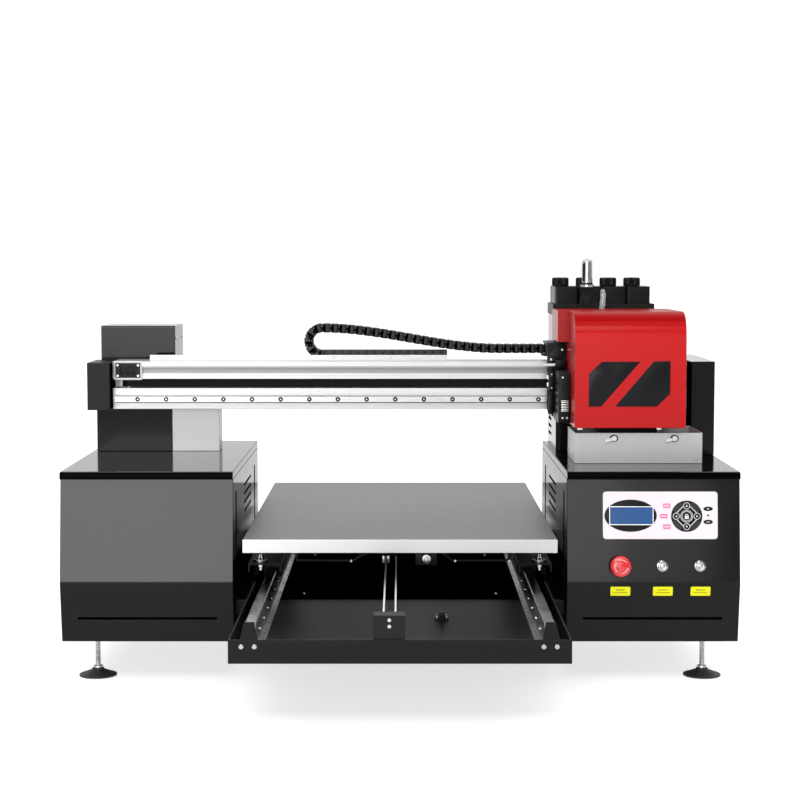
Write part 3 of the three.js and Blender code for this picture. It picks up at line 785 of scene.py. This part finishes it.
for row in frame["record"]["subparts"]:
    node_name = row["node"]
    special = [finish for part, finish in SPECIAL.items() if part in node_name]
    dress_node(node_name, special[0] if special else SLOTS[row["material_slot"]])


# ---- control panel ----
PANEL_FACE = 2.3           # the white panel's face, above the sheet
SINK = -0.1                # prints start just inside what they lie on
PAD_X, PAD_Z, PAD_WIDE = 549.5, 327.3, 60.0
PAD_TOP = 0.55
KEY_REACH, KEY_GAP = 20.0, 0.34
DISPLAY_X, DISPLAY_Z = 443.4, 328.3
LED_X = 590.7


def on_fascia(x, z):
    """A seat on the white panel's face."""
    return on_panel(x, z) @ Matrix.Translation((0, 0, PANEL_FACE))


def key_ring(piece, across, up, wide, symbol):
    """A round key in a printed ring, with a small symbol on it."""
    rim = 0.6
    outer, inner, cap = (moved(ellipse(wide - k, wide - k), across, up) for k in (0, 2.2, 3.2))
    piece.band(outer, inner, rim + SINK, rim + 0.35, WHITE_INK)
    piece.prism(cap, rim + SINK, rim + 0.8, BLACK_INK, 0.3)
    for shape in symbol:
        piece.prism(moved(shape, across, up), rim + 0.7, rim + 0.95, WHITE_INK)


def key_pad(piece):
    """Four arrow keys round a lock key, with bars between the arrows and fans outside them."""
    piece.at(on_fascia(PAD_X, PAD_Z))
    piece.prism(ellipse(PAD_WIDE, PAD_WIDE), SINK, 0.6, BLACK_INK, 0.25)
    half = math.radians(45) - KEY_GAP
    bar = moved(oblong(1.5, 2 * KEY_REACH * math.sin(half)), KEY_REACH * math.cos(half), 0)
    tip = ((-2.2, -1.6), (2.2, -1.6), (0, 2.4))
    for start in range(0, 360, 90):
        turn = math.radians(start)
        piece.prism(arc_band(20.5, 28.6, start + 21, 48), PAD_TOP, PAD_TOP + 0.12, SLATE_INK)
        piece.prism(rotated(bar, turn + math.radians(45)), PAD_TOP, PAD_TOP + 0.2, WHITE_INK)
        key_ring(piece, KEY_REACH * math.cos(turn), KEY_REACH * math.sin(turn), 13.0,
                 [rotated(tip, turn - math.radians(90))])
    piece.band(ellipse(24, 24), ellipse(22, 22), PAD_TOP, PAD_TOP + 0.2, WHITE_INK)
    lock = [moved(oblong(8.0, 6.2, 1.0), 0, -2.2), moved(arc_band(2.1, 3.5, 0, 180, 10), 0, 0.8)]
    key_ring(piece, 0, 0, 19.5, lock)


def control_panel_legends():
    piece = Piece("control_panel_legends").at(on_fascia(DISPLAY_X - 1.4, DISPLAY_Z))
    piece.prism(ellipse(100.6, 61.8), SINK, 0.25, BLACK_INK, 0.1)
    key_pad(piece)
    for x, z in ((511.4, 347.3), (505.8, 327.3), (511.4, 307.3)):
        piece.at(on_fascia(x, z)).prism(oblong(14.3, 8.8, 1.0), SINK, 0.15, PINK_INK)
        piece.prism(oblong(10.5, 3.0, 1.0), 0.1, 0.22, PALE_PINK)
    for z, mark in ((341.3, (5, 2.0)), (316.3, (8, 1.4))):
        piece.at(on_fascia(LED_X, z)).prism(ellipse(18, 8.6), SINK, 0.35, BLACK_INK, 0.1)
        piece.prism(ellipse(*mark, 20), 0.3, 0.45, WHITE_INK)
    piece.at(on_fascia(LED_X, 328.8)).prism(ellipse(3.6, 3.6, 20), SINK, 0.5, BLACK_INK, 0.1)
    piece.done("frame", "black_plastic")


def display_bezel():
    piece = Piece("display_bezel").at(on_fascia(DISPLAY_X, DISPLAY_Z))
    piece.band(oblong(85.0, 36.0, 1.2), oblong(81.6, 32.6, 0.6), 0.2, 2.5, ALUMINIUM)
    piece.done("frame", "aluminium")


STOP_X, STOP_Z = 421.5, 232.5
BUTTONS = (("start_button", 503.2), ("feed_button", 575.2))
BUTTON_Z = 232.5


def panel_buttons():
    collar = Piece("button_collars").at(on_panel(STOP_X, STOP_Z))
    collar.lathe([(11.7, 0), (18.5, 0), (18.5, 1.1), (17.8, 1.7), (11.7, 1.7), (11.7, 0)],
                 PLASTIC, 40)
    for _, x in BUTTONS:
        collar.at(on_panel(x, BUTTON_Z))
        collar.lathe([(8.9, 0), (11.2, 0), (11.2, 0.9), (10.4, 2.2), (9.4, 2.5), (8.9, 2.1),
                      (8.9, 0)], CHROME, 40)
    collar.done("frame", "chrome")

    head = Piece("stop_head_marks").at(on_panel(STOP_X, STOP_Z))
    head.lathe([(8.9, 22.9), (8.5, 24.3), (7.2, 25.2), (4, 25.8), (0, 26)], RED_PLASTIC, 36)
    sweep = 66
    for start in (35, 155, 275):
        head.prism(arc_band(12.2, 13.2, start, sweep), 22.6, 23.4, WHITE_INK, 0.1)
        tip = ((11.6, -0.5), (13.8, -0.5), (12.7, 2.8))
        head.prism(rotated(tip, math.radians(start + sweep)), 22.6, 23.4, WHITE_INK)
    head.done("emergency_stop", "red_plastic")

    for name, x in BUTTONS:
        crown = Piece(name + "_crown").at(on_panel(x, BUTTON_Z))
        crown.lathe([(7.4, 4.6), (7.2, 5.5), (6.3, 5.7), (5.6, 5.2), (4.6, 5.2), (4.2, 6.1),
                     (0, 6.4)], CHROME, 36)
        for side in (-1, 1):
            crown.prism(moved(oblong(1.0, 3.4, 0.4), side * 1.4, 0), 6.0, 6.6, STEEL, 0.1)
        crown.done(name, "chrome")


def button_labels():
    piece = Piece("button_labels")
    for x in (422.6, 504.0, 576.2):
        piece.at(under_bend(x, 184.0))
        piece.prism(oblong(38, 18.2, 2), -1.6, 0.45, YELLOW_INK, 0.15)
        for up, wide, mark in ((2.6, 18, 2.2), (-2.6, 27, 1.5)):
            for k in range(int(wide / mark)):
                across = (k + 0.5) * mark - wide / 2
                piece.prism(moved(oblong(mark * 0.62, mark), across, up), 0.4, 0.52, OLIVE_INK)
    piece.done("frame", "white_panel")


# ---- print carriage ----
def hood_windows():
    """Two smoked windows with a slanting red bar between them, each in a thin rubber seal."""
    front = span("carriage_hood")[0].y
    piece = Piece("hood_windows").at(on("front", 0, front, 0))
    left = [(398, 617), (373, 593), (373, 529), (397, 529), (473, 617)]
    right = [(501, 618), (425.6, 529), (506.5, 529), (533, 554), (533, 618)]
    for corners in (left, right):
        middle = sum((Vector(c) for c in corners), Vector((0, 0))) / len(corners)
        seal = [tuple(middle + (Vector(c) - middle) * 1.03) for c in corners]
        piece.prism(seal, -0.6, 0.5, DARK_RED, 0.3)
        piece.prism(corners, -0.5, 1.1, GLASS, 0.5, 3)
    piece.done("carriage", "black_plastic")


def hood_screws():
    low, high = span("carriage_hood")
    piece = Piece("hood_screws")
    for y, z in ((-150, 505), (-20, 505), (-150, 640), (-20, 690), (-100, 690)):
        piece.at(on("right", high.x, y, z)).screw(3.2, 1.6, DARK_SCREW)
    piece.screws("left", low.x + 23, -150, (505, 640), 3.2, 1.6, DARK_SCREW)
    for x in (352, 508):
        piece.at(PRINTER).block((x, x + 9), (low.y + 3, low.y + 16), (482, 489), SCREW, 0.4)
    piece.done("carriage", "steel")


def lamp_details():
    """Front plate, finned heat sink and terminals of the lamp beside the hood."""
    low, high = span("uv_lamp")
    x = (low.x + high.x) / 2
    piece = Piece("lamp_front").at(on("front", x, low.y, 0))
    piece.prism(moved(oblong(high.x - low.x - 2, 96, 2), 0, 540), -0.5, 2.5, PLASTIC, 0.8)
    piece.screws("front", x - 4, low.y - 2.5, (581, 499), 2.2, 1.2)
    piece.screws("front", x + 5, low.y - 2.5, 499, 2.2, 1.2)
    for fin in range(7):
        piece.at(on("front", x + 1, low.y - 2.4, 513 + 3.4 * fin))
        piece.prism(oblong(15, 1.7, 0.5), 0, 1.4, STEEL, 0.2)
    piece.done("carriage", "black_plastic")


def carriage_bracket():
    """The black bracket, connector blocks and clamps left of the hood, in front of the beam."""
    low, _ = span("carriage_plate")
    y = span("uv_lamp")[1].y
    piece = Piece("carriage_bracket").at(on("front", 0, y, 0))
    arm = [(307, 500), (319, 492), (319, 604), (336, 618),
           (343, 618), (343, 645), (330, 645), (307, 622)]
    piece.prism(arm, 0.5, 5.5, SATIN, 0.8)
    piece.block((307.5, 319), (548, 588), (5, 24), PLASTIC, 1.2)
    piece.block((308.5, 318), (506, 538), (5, 17), PLASTIC, 1.0)
    piece.block((321, 342), (596, 612), (5, 30), PLASTIC, 1.5)
    piece.tube([(297, 601, 22), (308, 601.4, 25), (320, 602, 27)], 3.0, WHITE_INK)
    piece.screws("front", 313, y - 24, (554, 582), 2.0, 1.1)
    for x, z in ((313, 496), (313, 612), (336, 632)):
        piece.at(on("front", x, y - 5.5, z)).screw(2.6, 1.6)
    piece.at(on("left", low.x, 0, 0))
    for v in (560, 575):
        piece.prism(moved(oblong(7, 9, 1), -12, v), -4, 1.6, CHROME, 0.3)
    piece.done("carriage", "black_plastic")

    clamp = Piece("chain_end_clamp")
    clamp.block((301, 330), (104, 141), (615, 619), SATIN, 0.6)
    clamp.block((308, 326), (101, 104.6), (618.5, 646), SATIN, 0.6)
    clamp.block((308, 326), (140.6, 144), (612, 640), SATIN, 0.6)
    clamp.screws("front", (312, 321), 101, 630, 2.4, 1.6)
    clamp.done("carriage", "satin_black")


def head_connectors():
    """Ink dampers and their connectors above the print head, seen under and behind the hood."""
    low, high = span("print_head")
    piece = Piece("head_dampers")
    for k in range(4):
        x = low.x + 18 + 27 * k
        piece.block((x, x + 20), (-88, -30), (high.z + 0.2, high.z + 26), PLASTIC, 1.2)
        piece.at(on("top", x + 10, -59, high.z + 26)).lathe(
            [(4, -0.5), (4, 4), (2.6, 5), (2.6, 14), (0, 14)], CHROME, 16)
        piece.at(PRINTER)
    piece.done("carriage", "black_plastic")


# ---- energy chain ----
def link(piece, centre, turn, pitch):
    """A chain link: two side plates that lap the next ones, bars above and below, and pins."""
    low, high = span("chain_bend")
    half = (high.y - low.y) / 2
    place = (centre[0], centre_of("chain_bend")[1], centre[1])
    piece.at(seat(place, (math.cos(turn), 0, math.sin(turn)), (-math.sin(turn), 0, math.cos(turn))))
    for side in (-1, 1):
        face = side * (half - 0.4)
        outer, inner = sorted((face, side * (half - 3.4)))
        plate = moved(oblong(pitch * 0.86, 18.8, 2.5), -pitch * 0.06, 0)
        lap = moved(oblong(pitch * 0.66, 17, 3), pitch * 0.36, 0)
        piece.prism(plate, outer, inner, CHAIN, 0.5)
        step = -side * 1.4
        piece.prism(lap, outer + min(step, 0) * 0.8, inner + max(step, 0) * 0.8, CHAIN, 0.4)
        pin = moved(ellipse(6.2, 6.2, 16), pitch * 0.38, 0)
        piece.prism(pin, *sorted((face - side * 2, face)), CHAIN, 0.3)
    for up in (-1, 1):
        ys = sorted((up * 9.6, up * 7.4))
        piece.block((-pitch * 0.40, pitch * 0.14), ys, (-half + 1, half - 1), CHAIN, 0.4)


CHAIN_HALF = 10            # half the chain's height
CHAIN_END_Z = 630          # where the chain meets its clamp on the carriage
CHAIN_FLAT = 0.2           # the share of the upper run that lies level before it climbs


def energy_chain():
    """The links of the upper run, which climbs from the carriage to the bend, and of the bend."""
    low, high = span("chain_bend")
    bend_x = high.x
    middle = centre_of("chain_bend")[2]
    radius = (high.z - low.z) / 2 - CHAIN_HALF
    run_end = span("chain_upper_run")[1].x
    rise = high.z - CHAIN_HALF - CHAIN_END_Z

    def level(x):
        left = (run_end - x) / (run_end - bend_x)
        t = max(0.0, (left - CHAIN_FLAT) / (1 - CHAIN_FLAT))
        return CHAIN_END_Z + t * t * (3 - 2 * t) * rise

    upper = Piece("chain_upper_links")
    count = round((run_end - bend_x) / CHAIN_PITCH)
    pitch = (run_end - bend_x) / count
    for k in range(count):
        x = bend_x + pitch * (k + 0.5)
        slope = (level(x + 1) - level(x - 1)) / 2
        link(upper, (x, level(x)), math.atan(slope) + math.pi, pitch)
    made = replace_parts(upper.done("carriage", "rubber"), "chain_upper_run")
    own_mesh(made)

    bend = Piece("chain_bend_links")
    turns = 5
    for k in range(turns):
        turn = math.pi * (k + 0.5) / turns
        centre = (bend_x - radius * math.sin(turn), middle + radius * math.cos(turn))
        link(bend, centre, math.pi + turn, math.pi * radius / turns)
    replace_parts(bend.done("chain_bend", "rubber"), "chain_bend")


def lower_chain():
    """The run that lies in the tray; it pays out as the bend moves, so its joints are a pattern."""
    low, high = span("chain_lower_run")
    run = Piece("chain_lower_band")
    slices = 48
    step = (high.x - low.x) / slices
    middle = (low.z + high.z) / 2
    run.at(on("right", 0, (low.y + high.y) / 2, middle))
    section = oblong(high.y - low.y - 1, high.z - low.z - 1, 2.5, 3)
    shape = bmesh.new()
    rings = []
    for k in range(slices + 1):
        x = low.x + step * k
        rings.append([shape.verts.new((u, v, x)) for u, v in section])
    loft(shape, rings)
    shape.faces.new(list(reversed(rings[0])))
    shape.faces.new(rings[-1])
    run.add(shape, CHAIN_RUN)
    made = run.done()
    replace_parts(made, "chain_lower_run")
    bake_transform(made)


# ---- cross beam ----
BOLT_PITCH = 60.0


def beam_hardware():
    """Rail bolts, strips of painted shadow along the rail's edges, the motor window, and the covers
    and screws of the beam.
    """
    low, high = span("beam_rail")
    bolts = Piece("rail_bolts")
    for k in range(20):
        bolts.at(on("front", -550 + BOLT_PITCH * k, low.y, 526.5))
        bolts.lathe([(3.4, -0.2), (5, -0.2), (5, 0.3), (4.6, 0.45), (3.6, 0.45), (3.4, -0.2)],
                    BLACK_INK, 20)
        bolts.lathe([(0, -0.2), (3.5, -0.2), (3.5, 0.25), (1.9, 0.3), (1.8, 0.05), (0, 0.05)],
                    BLACK_INK, 18)
        bolts.lathe([(0, 0), (1.7, 0), (1.7, 0.4), (0, 0.4)], SCREW, 6)
    bolts.at(PRINTER)
    # Thin dark strips: painted shadow along the rail's top and bottom edges.
    for z in (low.z + 0.8, high.z - 1.8):
        bolts.block((low.x + 2, high.x - 2), (low.y - 0.12, low.y + 0.2), (z, z + 1.0), SLATE_INK)
    bolts.done("frame", "steel")

    x, front, z = -571.5, 64.0, 586
    window = Piece("motor_window").at(on("front", x, front, z))
    window.band(oblong(60, 40, 2), oblong(52, 31, 2), 0, 2.0, SILVER)
    window.prism(oblong(53, 32), -0.3, 0.3, BLACK_INK)
    for across in (-12, 0, 12):
        window.prism(moved(oblong(8, 20, 2), across, 0), 0.1, 1.4, PLASTIC, 0.6)
    window.screws("front", (x - 21.5, x + 21.5), front - 0.2, (z - 11, z + 11), 2.4, 1.2)
    window.done("frame", "aluminium")

    back = Piece("beam_slot_covers").at(on("back", 0, span("cross_beam")[1].y, 0))
    for z, ends in itertools.product((530, 580), ((-325, 380), (384, 478))):
        back.block(ends, (z - 4, z + 4), (-0.3, 0.9), PLASTIC, 0.3)
    back.done("frame", "black_plastic")

    tray = Piece("chain_tray_screws")
    tray.screws("front", tuple(range(-500, 100, 120)), 100, 611, 2.2, 1.2)
    tray.done("frame", "steel")


# ---- ink supply ----
def ink_caps():
    """Ribbed screw caps with a dished top."""
    for k in range(1, 5):
        low, high = span(f"ink_cap_{k}")
        x, y, _ = centre_of(f"ink_cap_{k}")
        cap = Piece(f"ink_cap_{k}_ribbed").at(on("top", x, y, low.z))
        tall = high.z - low.z
        cap.lathe([(13.4, 0), (17.6, 0), (18, 0.6), (18, 3.4)], PLASTIC, 72)
        cap.lathe([(18, 3.4), (18, tall - 3), (16.6, tall - 0.8)], PLASTIC, 144, 36, 0.8)
        cap.lathe([(16.4, tall - 0.9), (15, tall), (12, tall), (10.5, tall - 1.2), (0, tall - 1.4)],
                  PLASTIC, 72)
        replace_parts(cap.done("frame", "black_plastic"), f"ink_cap_{k}")


def filter_reflection_streak():
    """A painted reflection, a dark streak down the chrome canister's front-left side, and a knurled
    ring round its foot.
    """
    low, high = span("ink_filter")
    x, y, _ = centre_of("ink_filter")
    piece = Piece("ink_filter_reflection_streak").at(on("top", x, y, 0))
    # Painted reflection: a dark streak on the chrome.
    piece.prism(arc_band(10.9, 11.8, 212, 30, 6), low.z + 12, high.z - 12, BLACK_INK, 0.2)
    ring = [(11.3, 6), (12.6, 6), (12.6, 9), (11.3, 9), (11.3, 6)]
    piece.lathe([(r, low.z + up) for r, up in ring], PLASTIC, 72, 24, 0.5)
    piece.done("frame", "chrome")


def tank_details():
    piece = Piece("tank_straps")
    for k in range(1, 5):
        low, high = span(f"ink_tank_{k}")
        for z in (low.z + 12, low.z + 40):
            piece.block((low.x + 6, high.x - 6), (low.y - 0.8, low.y + 2), (z, z + 2), PLASTIC, 0.3)
    piece.done("frame", "black_plastic")


HOSE_RADIUS = 6.0
HOSE_ROUTE = [
    (434, 157, 750), (434, 152, 750), (434, 148, 749.4), (434, 145, 747.4), (433.9, 143, 744),
    (433.7, 142, 739.6), (433.4, 141.6, 734), (432.9, 141.6, 727), (432.2, 141.8, 719.6),
    (431.3, 142, 712), (430.6, 142.2, 704), (430.2, 142.6, 696), (430, 143.6, 688.6),
    (430, 145.6, 682), (430, 148.8, 676.6), (430, 152.6, 673.6), (430, 156.8, 672.6),
]


def ink_hose():
    """The clear ink line, from the tanks' front down to the wall under the rack."""
    data = bpy.data.curves.new("ink_hose", "CURVE")
    data.dimensions = "3D"
    data.bevel_depth = HOSE_RADIUS * MM
    data.bevel_resolution = 4
    data.use_fill_caps = True
    spline = data.splines.new("POLY")
    spline.points.add(len(HOSE_ROUTE) - 1)
    for point, place in zip(spline.points, HOSE_ROUTE):
        point.co = (*(Vector(place) * MM), 1)
    spline.use_smooth = True
    data.materials.append(HOSE.material)
    hose = placed("ink_hose", data)
    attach(hose, "frame")
    ends = Piece("ink_hose_fittings")
    for place in (HOSE_ROUTE[0], HOSE_ROUTE[-1]):
        ends.at(on("front", *place))
        ends.lathe([(0, -1), (8.4, -1), (8.4, 2.5), (7.2, 3.4), (7.2, 6.5), (6.4, 7), (0, 7)],
                   PLASTIC, 24)
    fittings = ends.done("frame", "black_plastic")


# ---- platform and bed ----
def tray_hardware():
    """Screws of the tension bracket, the rails and the tray, and a clamp on the tray's floor."""
    piece = Piece("tension_bracket_screws")
    front = span("tension_bracket")[0].y
    piece.screws("front", centre_of("tension_bracket")[0], front, (185, 196), 3.6, 2.0)
    piece.done("platform", "steel")

    clamp = Piece("tray_clamp")
    clamp.block((68, 94), (-278, -250), (123.1, 126), SATIN, 0.4)
    clamp.block((76, 86), (-276, -252), (125.8, 136), SATIN, 0.8)
    clamp.screws("top", (71.5, 90.5), (-274, -254), 126, 2.6, 4.0)
    clamp.done("platform", "steel")

    bolts = Piece("bed_rail_bolts")
    for rail in ("left_bed_rail", "right_bed_rail"):
        low = span(rail)[0]
        middle = centre_of(rail)[0]
        ys = tuple(low.y + 40 + 100 * k for k in range(13))
        for hand, name in ((-1, "left"), (1, "right")):
            bolts.screws(name, middle + hand * 6, ys, 152, 3.6, 2.4)
            bolts.screws("top", middle + hand * 11.4, ys, low.z + 4, 2.2, 2.0)
    bolts.done("platform", "steel")

    lip = Piece("tray_corner_bolts")
    lip.screws("top", (-40, 3), -630, 123, 3, 2.4)
    lip.screws("top", (-200, 200), (-500, 0, 500), 123, 3.4, 2.4)
    lip.done("platform", "steel")


SLIDER_TOP = 236
BED_UNDER = 260.6         # just under the bed plate


def level_screws():
    """Plated adjusters between the sliders and the bed plate."""
    piece = Piece("bed_level_screws")
    low, high = span("bed_plate")
    across, inset = 270, 62
    for x, y in itertools.product((-across, across), (low.y + inset, high.y - inset)):
        piece.at(on("top", x, y, SLIDER_TOP))
        piece.lathe([(0, -0.2), (14.4, -0.2), (14.4, 3.4), (0, 3.4)], SCREW, 28)
        piece.lathe([(7.4, 3), (7.4, 8.4), (4.4, 8.6), (4.4, 13.8), (13.4, 19.8), (13.4, 24.6),
                     (0, 24.6)], SCREW, 6)
        piece.at(on("under", x, y, SLIDER_TOP - 3))
        piece.lathe([(0, -1), (6.5, -1), (6.5, 8), (4, 8.2), (4, 15), (0, 15)], SCREW, 6)
    piece.done("bed", "steel")


def under_bed():
    """Grab rods, a knob on its block, and the clamp that grips the bed's belt."""
    y = span("bed_plate")[0].y + 40
    rod = 2.6
    rods = Piece("under_bed_rods")
    heights = (241, 240, 242, 250, 253, BED_UNDER)
    for xs in ((-200, -94, -86, -76, -66, -60), (212, 106, 98, 90, 82, 76)):
        rods.tube([(x, y, z) for x, z in zip(xs, heights)], rod, SATIN)
    for x in (-198, 210):
        rods.tube([(x, y, 241.6), (x, y + 4, 250), (x, y + 4, BED_UNDER)], rod, SATIN)
    rods.screws("front", (-94, 106, 210), y - rod, 240, 2.4, 1.6)
    rods.done("bed", "satin_black")

    knob = Piece("bed_stop_knob")
    knob.block((30, 71), (y, y + 12), (231, BED_UNDER), SATIN, 0.8)
    knob.at(on("front", 51, y, 244.5))
    knob.lathe([(0, 0), (9, 0), (9, 1), (9.4, 1.5), (9.4, 8), (8.4, 9.4), (5, 9.8), (4.4, 9),
                (0, 9)], SCREW, 72, 24, 0.7)
    knob.done("bed", "steel")

    clamp = Piece("bed_belt_clamp")
    belt = span("y_belt")[0]
    clamp.block((belt.x - 8, belt.x + 26), (0, 46), (203, BED_UNDER), SATIN, 0.8)
    for x in (belt.x - 6, belt.x + 4.2):
        clamp.block((x, x + 4.6), (2, 44), (188, 204), ALUMINIUM, 0.5)
    clamp.screws("left", belt.x - 6, (10, 36), 196, 2.4, 1.6)
    clamp.done("bed", "satin_black")

    ribs = Piece("bed_stiffeners")
    for y, ends in itertools.product((60, 300, 500), ((-226, -60), (60, 226))):
        ribs.block(ends, (y, y + 20), (250, BED_UNDER), SATIN, 0.8)
    ribs.done("bed", "bed_aluminium")


# ---- cabinets, uprights and back ----
def rear_screws():
    """Screws of the cabinets' bolted service covers."""
    back = span("left_cabinet")[1].y
    for name in ("left_cabinet", "right_cabinet"):
        low, high = span(name)
        xs = (low.x + 14, high.x - 14)
        screws = Piece(name + "_rear_screws")
        screws.screws("back", (*xs, centre_of(name)[0]), back, (low.z + 14, high.z - 14), 3.4, 1.8)
        screws.screws("back", xs, back, (190, 290), 3.4, 1.8)
        screws.done("frame", "steel")


def vent_filters():
    """Foam behind the vents in the cabinets' backs and outer sides."""
    back = span("left_cabinet")[1].y
    heights = (196, 290)
    filters = Piece("vent_filters")
    for side in (-1, 1):
        ends = sorted((side * 426, side * 564))
        outer = sorted((side * 648.6, side * 646))
        filters.block(ends, (back - 6, back - 3.4), heights, DARK_FOAM, 0.3)
        filters.block(outer, (126, 264), heights, DARK_FOAM, 0.3)
    filters.done("frame", "black_plastic")


def fan_grille():
    """A wire guard of rings and spokes over the left cabinet's fan."""
    x, y, z = -604, span("left_cabinet")[1].y, 240
    bolt = 36
    fan = Piece("fan_grille").at(on("back", x, y, z))
    fan.band(oblong(82, 82, 8), oblong(72, 72, 30), -0.2, 2.4, PLASTIC)
    fan.prism(ellipse(70, 70), -0.2, 0.5, BLACK_INK)
    for r in (10, 17, 24, 31):
        turns = [k * math.pi / 18 for k in range(37)]
        fan.tube([(r * math.cos(t), r * math.sin(t), 2.2) for t in turns], 0.8, CHROME, 8)
    for k in range(4):
        turn = math.pi / 4 + k * math.pi / 2
        c, s = math.cos(turn), math.sin(turn)
        fan.tube([(9 * c, 9 * s, 1.6), (44 * c, 44 * s, 1.6)], 0.9, CHROME, 8)
    fan.screws("back", (x - bolt, x + bolt), y + 2.2, (z - bolt, z + bolt), 2.6, 1.4)
    fan.done("frame", "black_plastic")


def inlet_pins():
    x, _, z = centre_of("power_inlet")
    y = span("power_inlet")[1].y
    inlet = Piece("inlet_pins").at(on("back", x, y, z))
    inlet.band(oblong(30, 21, 3), oblong(27, 18, 3), -0.2, 1.4, PLASTIC)
    inlet.prism(oblong(27.4, 18.4, 2), -0.3, 0.2, BLACK_INK)
    for u, v in ((-7, -2), (0, 3), (7, -2)):
        inlet.prism(moved(oblong(2, 6, 0.3), u, v), 0, 1.3, TINNED, 0.2)
    inlet.screws("back", (x - 20, x + 20), y, z, 2.2, 1.0)
    inlet.done("frame", "black_plastic")


def upright_hardware():
    piece = Piece("upright_screws")
    for name in ("left_upright", "right_upright"):
        low, high = span(name)
        heights = (low.z + 20, centre_of(name)[2], high.z - 20)
        piece.screws("back", (low.x + 12, high.x - 12), high.y, heights, 3.2, 1.8)
    low, high = span("left_upright")
    for y, z in ((110, 440), (280, 440), (280, 650), (175, 650)):
        piece.at(on("left", low.x, y, z)).screw(3.2, 1.8)
    for y, z in ((280, 440), (280, 650), (175, 650)):
        piece.at(on("right", high.x, y, z)).screw(3.2, 1.8)
    low, high = span("right_end_cover")
    piece.screws("back", (low.x + 12, high.x - 12), high.y, (low.z + 20, high.z - 20), 3.0, 1.6)
    piece.done("frame", "steel")


def capping_station():
    low, high = span("capping_tray")
    piece = Piece("capping_tray_hardware")
    piece.screws("front", (low.x + 12, high.x - 12), low.y, low.z + 8, 2.0, 1.0)
    piece.screws("left", low.x, (-120, -30), low.z + 20, 3.0, 1.6)
    piece.screws("right", high.x, (-120, -30), low.z + 20, 3.0, 1.6)
    floor_z = low.z + 2
    for name in ("left_cap_latch", "right_cap_latch"):
        latch = span(name)[1]
        piece.at(on("front", latch.x - 5.5, low.y, latch.z - 5.5))
        # A dark disc behind each latch: painted shadow round the latch.
        piece.prism(ellipse(17, 14), -0.2, 0.4, BLACK_INK)
    piece.at(PRINTER)
    for x in (362, 540):
        piece.block((x, x + 26), (-128, -22), (floor_z + 0.1, floor_z + 16), PLASTIC, 1.5)
        piece.at(on("top", x + 13, -75, floor_z + 16)).lathe(
            [(0, -1), (5, -1), (5, 3), (3, 4), (3, 9), (0, 9)], CHROME, 20)
        piece.at(PRINTER)
    piece.done("frame", "aluminium")


def foot_nuts():
    piece = Piece("foot_nuts")
    for side, end in itertools.product(("left", "right"), ("front", "rear")):
        x, y, _ = centre_of(f"{side}_{end}_foot")
        piece.at(on("top", x, y, 0))
        piece.lathe([(5.3, 70), (11, 70.8), (11, 77.4), (5.3, 78.2)], SCREW, 6)
        piece.lathe([(5.3, 78.2), (12.5, 78.2), (12.5, 79.8), (5.3, 79.8)], SCREW, 28)
    piece.done("frame", "steel")


for build in (
    control_panel_legends, display_bezel, panel_buttons, button_labels, hood_windows, hood_screws,
    lamp_details, carriage_bracket, head_connectors, energy_chain, lower_chain, beam_hardware,
    ink_caps, filter_reflection_streak, tank_details, ink_hose, tray_hardware, level_screws, under_bed,
    rear_screws, vent_filters, fan_grille, inlet_pins, upright_hardware, capping_station, foot_nuts,
):
    build()


# ---- camera and light ----
bpy.context.scene.view_settings.view_transform = "Standard"
add_camera()
add_world(0.4, 1.02)
add_softbox("left_softbox", (-1.35, -5.3, 1.25), (-0.4, 0, 0.4), (1.7, 2.0), 80)
add_softbox("right_softbox", (0.75, -5.3, 1.25), (0.4, 0, 0.4), (0.5, 1.8), 9.3)
add_softbox("far_right_softbox", (1.2, -5.3, 1.25), (0.4, 0, 0.4), (0.5, 1.8), 4)
add_softbox("front_fill", (-0.5, -3.4, 3.1), (0, 0, 0.45), (3.0, 1.4), 75)
add_softbox("ceiling", (0, 0.5, 5.0), (0, 0.5, 0), (12.0, 12.0), 450)

bpy.ops.mesh.primitive_plane_add(size=80, location=(0, 0, 0))
floor = bpy.context.object
floor.name = "floor"
floor.data.materials.append(floor_finish().material)
